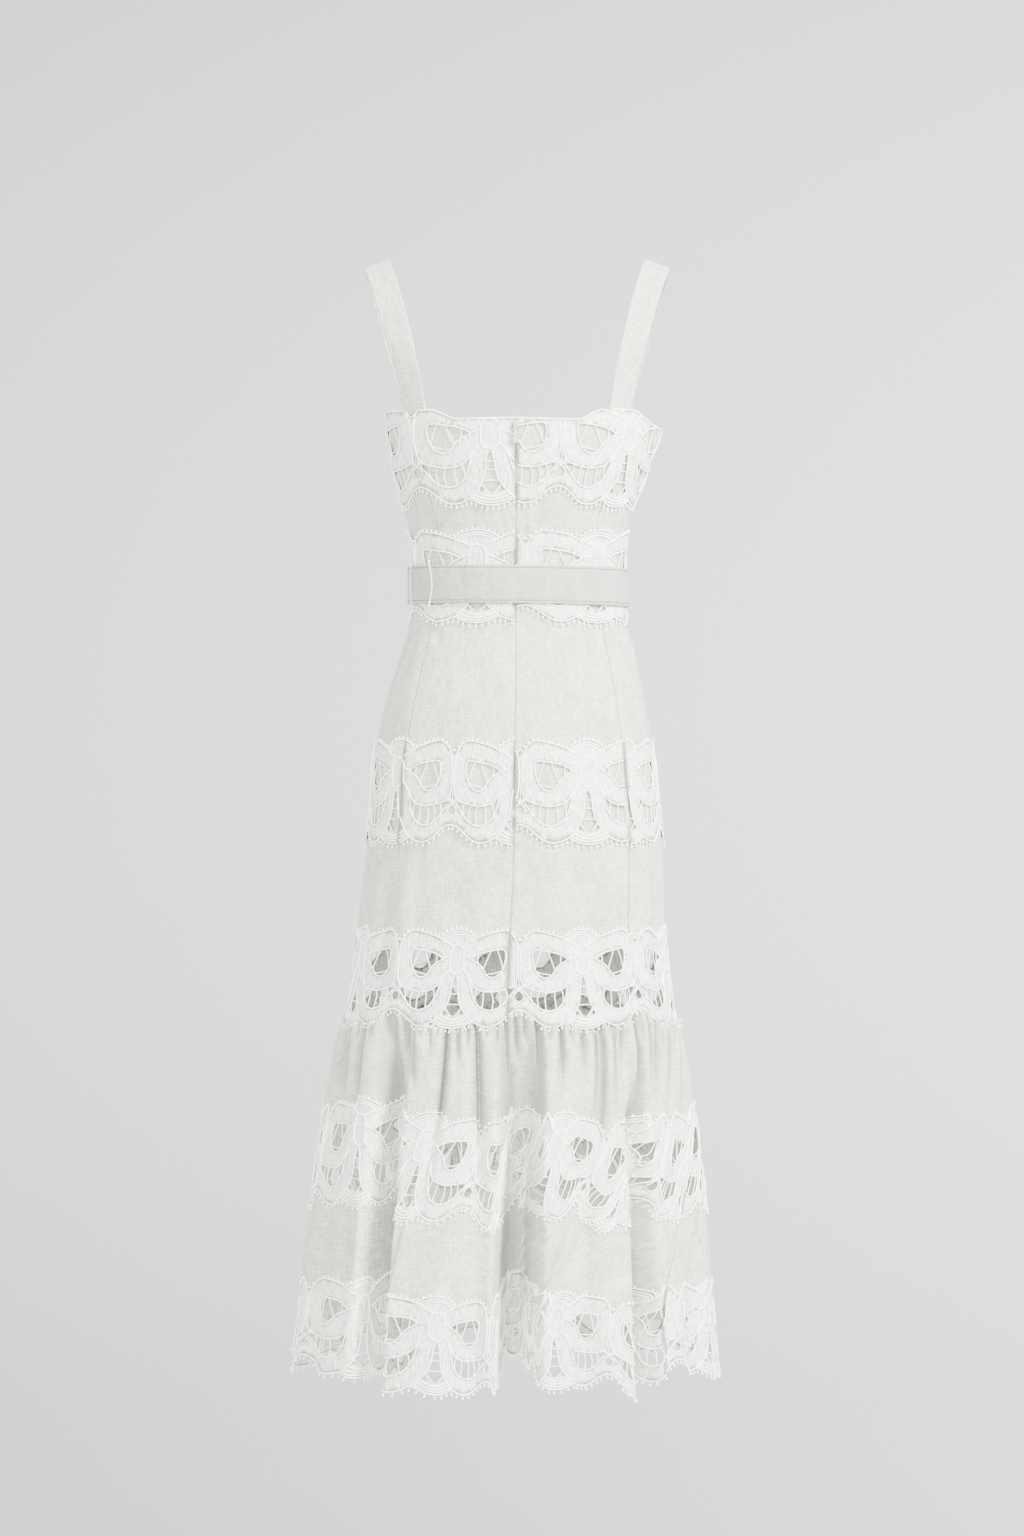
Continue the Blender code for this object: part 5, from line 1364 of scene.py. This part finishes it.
# One strap, from the back neckline over the crest to the front neckline; tilt leans its outer edge down.
StrapPoint = namedtuple("StrapPoint", "x y down tilt_deg turn_deg")
STRAP = [StrapPoint(*row) for row in (
    (111, -66, 163.3, 0, 35), (119, -74, 125, 3, 27), (128, -77, 87, 7, 20), (138, -71, 49, 12, 12),
    (147, -54, 19, 17, 5), (152.5, -32, 4.5, 20, 0), (154, -8, 0, 21, 0), (153, 16, 4.5, 20, 0),
    (149, 40, 21, 17, -4), (140, 63, 54, 12, -10), (129, 78, 94, 7, -16), (119, 84, 131, 3, -23),
    (111, 84, 163.3, 0, -30),
)]
STRAP_END_INSIDE = 1.3
STRAP_END_LOWER = 7.0
STRAP_FINE = 7
# In thousandths of the strap's half width and half thickness, with a groove where the stitches lie.
STRAP_TOP = even_line((0, 950), (350, 970), (740, 1000), (800, 860), (860, 1000), (955, 850), (985, 550),
                      (1000, 0))
STRAP_STITCH_ACROSS = 0.8
STRAP_HALF_THICK = 0.8
STRAP_WAVE, STRAP_WAVE_LENGTH = 0.5, 31.0
STRAP_RIPPLE, STRAP_RIPPLE_LENGTH = 0.3, 13.0
STRAP_STILL = 0.3
STRAP_STITCH_LIFT = 0.9
STRAP_STITCH = Stitch(3.2, 2.2, 0.6)


BODICE_SAMPLES = 2000


def on_bodice(x, down, front):
    """The point of the bodice's middle surface at a sideways place and height, on the front or the back."""
    start = 0.5 if front else 0
    turns = np.linspace(start, start + 0.5, BODICE_SAMPLES) * math.pi * (1 if x > 0 else -1)
    xs, ys = ring_xy(turns, np.full_like(turns, down))
    return np.array([x, float(ys[int(np.argmin(np.abs(xs - x)))]), -down])


def strap_rows(side):
    """The strap's path, tilt and turn on one side, its ends set inside the bodice."""
    rows = [(side * p.x, p.y, -p.down, p.tilt_deg, p.turn_deg) for p in STRAP]
    for k in (0, -1):
        x, y, z = on_bodice(side * STRAP_HALF_SPAN, STRAP[k].down, STRAP[k].y > 0)
        inside = -math.copysign(STRAP_END_INSIDE, STRAP[k].y)
        rows[k] = (x, y + inside, z - STRAP_END_LOWER, STRAP[k].tilt_deg, STRAP[k].turn_deg)
    return spread(rows, STRAP_FINE)


def make_strap(side, name):
    rows = strap_rows(side)
    path, tilt, turn = rows[:, :3], np.radians(rows[:, 3]), np.radians(rows[:, 4])
    ahead = unit(np.gradient(path, axis=0))
    flat = np.cos(tilt)
    across = np.stack([side * flat * np.cos(turn), flat * np.sin(turn), -np.sin(tilt)], axis=1)
    across = unit(across - ahead * (across * ahead).sum(axis=1, keepdims=True))
    up = np.cross(ahead, across) * side
    run = run_along(path)
    wave = STRAP_WAVE * np.sin(run / STRAP_WAVE_LENGTH + side)
    wave += STRAP_RIPPLE * np.sin(run / STRAP_RIPPLE_LENGTH)

    def line(a, b):
        """The line along the strap at a share of its half width and of its half thickness."""
        lift = STRAP_HALF_THICK * b + wave * (a * a - STRAP_STILL)
        return (path + across * (STRAP_WIDTH / 2 * a) + up * lift[:, None]) * MM

    section = STRAP_TOP + [(a, -b) for a, b in STRAP_TOP[1:-1][::-1]]
    count, rings = len(section), len(path)
    points = np.stack([line(a, b) for a, b in section], axis=1).reshape(-1, 3)
    pattern = [np.column_stack([a * STRAP_WIDTH / 2 + run * 0, run, run * 0]) for a, _ in section]
    faces = [(a, d, c, b) for a, b, c, d in tube_faces(rings, count, closed=False)]
    faces += [tuple(range(count))[::-1], tuple((rings - 1) * count + c for c in range(count))]
    if side < 0:
        faces = [face[::-1] for face in faces]
    strap = mesh_from(name + "_cloth", points, faces, LINEN, np.stack(pattern, axis=1).reshape(-1, 3))
    dressed(strap, "linen_cotton_cloth", name)
    rows = [line(a, STRAP_STITCH_LIFT) for a in (-STRAP_STITCH_ACROSS, STRAP_STITCH_ACROSS)]
    stitches = dressed(stitched(name + "_stitches", rows, STRAP_STITCH, STITCH_THREAD_PAINTED_SHADE), "linen_cotton_cloth")


def make_straps():
    make_strap(1, "strap_right")
    make_strap(-1, "strap_left")


# The belt's cut across: the share of its height, and how far out of its inner face.
BELT_SECTION = [
    (0.0, 0.75), (0.004, 0.35), (0.02, 0.08), (0.06, 0.0), (0.3, 0.0), (0.5, 0.0), (0.7, 0.0), (0.94, 0.0),
    (0.98, 0.08), (0.996, 0.35), (1.0, 0.75), (1.0, 1.3), (0.994, 1.75), (0.975, 2.1), (0.95, 2.2),
    (0.93, 1.55), (0.91, 2.22), (0.84, 2.34), (0.66, 2.4), (0.5, 2.4), (0.34, 2.4), (0.16, 2.34),
    (0.09, 2.22), (0.07, 1.55), (0.05, 2.2), (0.025, 2.1), (0.006, 1.75), (0.0, 1.3),
]
BELT_COLUMNS = 260
BELT_STITCH_EDGES = (0.07, 0.93)
BELT_STITCH_SUNK = 0.4
BELT_STITCH = Stitch(3.6, 2.2, 1.4)
BELT_STITCH_SAMPLES = 600
BELT_SHARE_STEP = 0.004
BELT_PATTERN_SHARE = 0.66
TONGUE_START, TONGUE_START_RISE, TONGUE_THICK = 0.335, 0.0035, 0.9
TONGUE_END, TONGUE_END_RISE = 0.5, 0.004
BELT_CREASES = [(-0.118, 0.004, -0.3), (0.132, 0.005, -0.35), (0.168, 0.004, -0.3), (-0.172, 0.005, 0.3),
                (0.31, 0.006, -0.4), (0.43, 0.005, -0.3), (0.62, 0.006, -0.35), (0.7, 0.005, 0.3)]


def belt_rise(share):
    """How far the belt's outer face stands out of its even thickness: the overlapped end and small bends."""
    out = TONGUE_THICK * smooth((share - TONGUE_START) / TONGUE_START_RISE)
    out = out * smooth((TONGUE_END - share) / TONGUE_END_RISE)
    for at, width, depth in BELT_CREASES:
        out = out + depth * np.exp(-(((share - at) / width) ** 2))
    return out


def belt_point(share, edge, out):
    """A point of the belt; it stands off the creases of the cloth under it."""
    share, edge, out = np.broadcast_arrays(share, edge, out)

    def plain(share, down):
        return np.stack([*folded_xy(turn_at(share, down), down), -down], axis=-1)

    centre = plain(share, np.full(share.shape, BELT_MIDDLE_DOWN))
    down = BELT_TOP_DOWN + edge * BELT_HEIGHT + BELT_TILT * centre[..., 0]
    along = plain(share + BELT_SHARE_STEP, down) - plain(share - BELT_SHARE_STEP, down)
    here = plain(share, down)
    normal = unit(np.stack([along[..., 1], -along[..., 0]], axis=-1))
    here[..., :2] += normal * (BELT_STANDOFF + out)[..., None]
    return here * MM


def make_belt():
    shares = np.sort(np.concatenate([
        np.linspace(-0.25, 0.75, BELT_COLUMNS, endpoint=False),
        TONGUE_START + np.linspace(0, TONGUE_START_RISE, 4), TONGUE_END - np.linspace(0, TONGUE_END_RISE, 4),
    ]))
    columns = len(shares)
    rise = belt_rise(shares)
    rings, pattern = [], []
    for edge, out in BELT_SECTION:
        rings.append(belt_point(shares, np.full(columns, edge), out + rise * (out > 1.0)))
        # The pattern's third value is painted shade: the rows in the stitch grooves are darker.
        across = np.tile([edge * BELT_HEIGHT, float(edge in BELT_STITCH_EDGES)], (columns, 1))
        pattern.append(np.column_stack([shares * GIRTH * BELT_PATTERN_SHARE, across]))
    points, pattern = (np.stack(rows, axis=1).reshape(-1, 3) for rows in (rings, pattern))
    belt = mesh_from("belt_cloth_band", points, tube_faces(columns, len(BELT_SECTION)), BELT_CLOTH, pattern)
    dressed(belt, "belt_cloth", "belt")
    ring = np.linspace(-0.25, 0.75, BELT_STITCH_SAMPLES)
    out = BELT_THICKNESS - BELT_STITCH_SUNK + belt_rise(ring)
    lines = [belt_point(ring, edge, out) for edge in BELT_STITCH_EDGES]
    stitches = dressed(stitched("belt_stitches", lines, BELT_STITCH, STITCH_THREAD_PAINTED_SHADE), "belt_cloth")


BUCKLE_WIDTH, BUCKLE_HEIGHT, BUCKLE_BAR, BUCKLE_THICKNESS = 46.0, 58.0, 6.0, 3.5
BUCKLE_CLEAR, BUCKLE_BEND, BUCKLE_CORNER, BUCKLE_SQUARENESS = 0.2, 560.0, 11.0, 0.7
BUCKLE_ROUNDS, BUCKLE_SIDES, BUCKLE_PATTERN_STEP = 12, 14, 3.0
BUCKLE_SHARE = 0.5


def padded(value):
    return math.copysign(abs(value) ** BUCKLE_SQUARENESS, value)


def make_buckle():
    """The covered frame: a padded rounded bar bent to the belt."""
    at = belt_point(np.array([BUCKLE_SHARE]), 0.0, BELT_THICKNESS)[0] / MM
    points, pattern = [], []
    for step in range(4 * BUCKLE_ROUNDS):
        corner, part = divmod(step, BUCKLE_ROUNDS)
        angle = math.radians(90 * corner + 90 * part / (BUCKLE_ROUNDS - 1))
        cx = (1 if corner in (0, 3) else -1) * (BUCKLE_WIDTH / 2 - BUCKLE_CORNER)
        cz = (1 if corner in (0, 1) else -1) * (BUCKLE_HEIGHT / 2 - BUCKLE_CORNER)
        for side in range(BUCKLE_SIDES):
            around = 2 * math.pi * side / BUCKLE_SIDES
            inward = BUCKLE_BAR / 2 * (1 - padded(math.cos(around)))
            x = cx + math.cos(angle) * (BUCKLE_CORNER - inward)
            z = cz + math.sin(angle) * (BUCKLE_CORNER - inward)
            out = BUCKLE_THICKNESS / 2 * (1 + padded(math.sin(around))) - x * x / BUCKLE_BEND
            points.append(((at[0] + x) * MM, (at[1] + BUCKLE_CLEAR + out) * MM, (z - BELT_MIDDLE_DOWN) * MM))
            pattern.append((step * BUCKLE_PATTERN_STEP, around * BUCKLE_BAR / 2, 0.0))
    faces = tube_faces(4 * BUCKLE_ROUNDS, BUCKLE_SIDES)
    buckle = mesh_from("belt_buckle_covered", points, faces, BELT_CLOTH, pattern)
    dressed(buckle, "belt_cloth", "belt_buckle")


LOOP_CLEAR, LOOP_REACH, LOOP_FOOT, LOOP_TURN, LOOP_BOW = 1.5, 4.0, 1.0, 1.2, 0.006
LOOP_SHARES = {"left_1": -0.191, "left_2": -0.148, "right_1": 0.30, "right_2": 0.326}
LOOP_STRAND, LOOP_TWIST = 0.46, 5.5
LOOP_SHOULDER = 0.5
LOOP_FINE = 9
LOOP_STRAND_PRESSED = 0.1
LOOP_STEEP = 0.3


def make_belt_loops():
    """Two thread carriers at each side, each of two strands wound round one another."""
    outside = BELT_THICKNESS + LOOP_CLEAR
    over, shoulder = LOOP_REACH / BELT_HEIGHT, (LOOP_REACH - LOOP_SHOULDER) / BELT_HEIGHT
    turn = LOOP_TURN / BELT_HEIGHT
    for k, (name, share) in enumerate(LOOP_SHARES.items()):
        bow = LOOP_BOW * (-1 if k % 2 == 0 else 1)
        rows = spread([(share + bow * bowed, edge, out) for edge, out, bowed in (
            (-over, LOOP_FOOT, 0), (-shoulder, outside - LOOP_TURN, 0), (-turn, outside, 0.25),
            (0.5, outside, 1),
            (1 + turn, outside, 0.25), (1 + shoulder, outside - LOOP_TURN, 0), (1 + over, LOOP_FOOT, 0),
        )], LOOP_FINE)
        path = belt_point(*rows.T)
        ahead = unit(np.gradient(path, axis=0))
        side = np.cross(ahead, [0.0, 0.0, 1.0])
        steep = np.linalg.norm(side, axis=1, keepdims=True) < LOOP_STEEP
        side = unit(np.where(steep, np.cross(ahead, [1.0, 0.3, 0.0]), side))
        up = np.cross(ahead, side)
        wound = run_along(path) / MM * 2 * math.pi / LOOP_TWIST
        work = ThreadWork()
        for angle in (wound, wound + math.pi):
            out = side * np.cos(angle)[:, None] + up * np.sin(angle)[:, None]
            work.add(path + out * LOOP_STRAND * MM, LOOP_STRAND + LOOP_STRAND_PRESSED)
        loop = work.finish(f"belt_loop_{name}_thread", SEWING_THREAD)
        dressed(loop, "linen_cotton_cloth", f"belt_loop_{name}")


ZIP_TOP_DOWN, ZIP_FOOT_DOWN = 181.0, 724.0
ZIP_TAPE_HALF, ZIP_TAPE_IN = 9.0, 1.7
ZIP_COIL_ABOVE, ZIP_COIL_OUT = 3.0, 0.75
ZIP_COIL = Stitch(1.6, 1.1, 1.5)
ZIP_ROWS, ZIP_COLUMNS, ZIP_COIL_SAMPLES = 130, 5, 400


def make_zip():
    """The zip's tape behind the centre-back seam with its closed coil, and the metal of slider and pull."""
    downs = np.linspace(ZIP_TOP_DOWN, ZIP_FOOT_DOWN, ZIP_ROWS)
    shares = np.linspace(-1, 1, ZIP_COLUMNS) * ZIP_TAPE_HALF / GIRTH
    share, down = np.meshgrid(shares, downs)
    depths = (ZIP_TAPE_IN, ZIP_TAPE_IN + CLOTH_WALL)
    outer, inner = (place(share, down, -depth).reshape(-1, 3) for depth in depths)
    pattern = np.stack([share * GIRTH, down, np.zeros(down.shape)], axis=-1).reshape(-1, 3)
    tape = shell("zip_tape", outer, inner, grid_faces(ZIP_ROWS, ZIP_COLUMNS), ZIP_TAPE, pattern)
    dressed(tape, "zip_enamel")
    downs = np.linspace(ZIP_TOP_DOWN - ZIP_COIL_ABOVE, ZIP_FOOT_DOWN, ZIP_COIL_SAMPLES)
    line = place(0.0, downs, ZIP_COIL_OUT - ZIP_TAPE_IN)
    coil = dressed(stitched("zip_coil", [line], ZIP_COIL, ENAMEL), "zip_enamel")
    for node in ("zip_slider", "zip_pull"):
        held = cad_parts[node]
        held.data.materials.clear()
        held.data.materials.append(ENAMEL)


make_bodice()
make_skirt()
make_lined_lace()
make_open_lace()
make_flounce()
make_straps()
make_belt()
make_buckle()
make_belt_loops()
make_zip()


# Floor, light and camera, in metres

FLOOR_HEIGHT, FLOOR_FRONT = -3.7, -11.0
WALL_BEHIND, WALL_TOP = 11.0, 6.0
SWEEP_RADIUS, SWEEP_STEPS = 1.0, 8
STAGE_HALF_WIDTH = 9.0
# The paint of floor and wall, and the colour of the wall's painted shade.
PALE_PAINT, WALL_PAINTED_SHADE = (0.80, 0.806, 0.806), (0.46, 0.452, 0.44)
# How the wall's painted shade gathers: everywhere, across, away from one height and in clouds, but only on
# the wall.
SHADE_EVEN, SHADE_ACROSS, SHADE_UP, SHADE_CLOUD = 0.25, -0.17, 0.07, 0.2
SHADE_HEIGHT = -0.55
SHADE_BEHIND, SHADE_FADE = 8.0, 0.5

Lamp = namedtuple("Lamp", "place aim size power colour")
LAMPS = {
    "key": Lamp((1.9, -1.8, 1.25), (0, 0, -0.5), (0.9, 0.9), 660, (1.0, 0.99, 0.965)),
    "fill": Lamp((-0.9, -5.0, 0.1), (0, 0, -0.7), (2.2, 3.0), 520, (1.0, 0.995, 0.975)),
}
ROOM_COLOUR, ROOM_STRENGTH = (1.0, 1.0, 0.985, 1), 3.0
CAMERA_PLACE = (-0.0055, -5.2, -0.553)
SENSOR_MM, LENS_MM = 36, 110.8


def make_stage():
    """A plain pale floor that sweeps up into the wall behind, the wall darkened with painted shade."""
    outline = [(FLOOR_FRONT, FLOOR_HEIGHT)]
    for k in range(SWEEP_STEPS + 1):
        angle = math.pi / 2 * k / SWEEP_STEPS
        outline.append((WALL_BEHIND - SWEEP_RADIUS + math.sin(angle) * SWEEP_RADIUS,
                        FLOOR_HEIGHT + SWEEP_RADIUS - math.cos(angle) * SWEEP_RADIUS))
    outline.append((WALL_BEHIND, WALL_TOP))
    points = [(x, y, z) for y, z in outline for x in (-STAGE_HALF_WIDTH, STAGE_HALF_WIDTH)]
    faces = [(2 * k, 2 * k + 1, 2 * k + 3, 2 * k + 2) for k in range(len(outline) - 1)]
    paint = Finish("backdrop_paint", roughness=0.9)
    spot = paint.object_place()
    across, back, height = (paint.value("ShaderNodeSeparateXYZ", axis, Vector=spot) for axis in "XYZ")
    height = height - SHADE_HEIGHT
    shade_cloud = paint.noise(spot, 0.25, detail=1.0)
    amount = across * SHADE_ACROSS + SHADE_EVEN + height * height * SHADE_UP + (shade_cloud - 0.5) * SHADE_CLOUD
    on_wall = ((back - SHADE_BEHIND) * SHADE_FADE).clamped()
    paint.coloured(PALE_PAINT, WALL_PAINTED_SHADE, amount.clamped() * on_wall)
    mesh_from("floor_and_wall", points, faces, paint.material)


def make_light(name, row):
    lamp = bpy.data.lights.new(name, "AREA")
    lamp.shape = "RECTANGLE"
    lamp.size, lamp.size_y = row.size
    lamp.energy = row.power
    lamp.color = row.colour
    made = link(bpy.data.objects.new(name, lamp))
    made.location = row.place
    made.rotation_euler = (Vector(row.aim) - Vector(row.place)).to_track_quat("-Z", "Y").to_euler()


def make_view():
    world = bpy.data.worlds.new("studio")
    bpy.context.scene.world = world
    world.use_nodes = True
    room = world.node_tree.nodes["Background"].inputs
    room["Color"].default_value = ROOM_COLOUR
    room["Strength"].default_value = ROOM_STRENGTH
    for name, row in LAMPS.items():
        make_light(name, row)
    camera = bpy.data.cameras.new("camera")
    camera.sensor_width = SENSOR_MM
    camera.lens = LENS_MM
    made = link(bpy.data.objects.new("camera", camera))
    made.location = CAMERA_PLACE
    made.rotation_euler = (math.pi / 2, 0, 0)
    bpy.context.scene.camera = made


make_stage()
make_view()
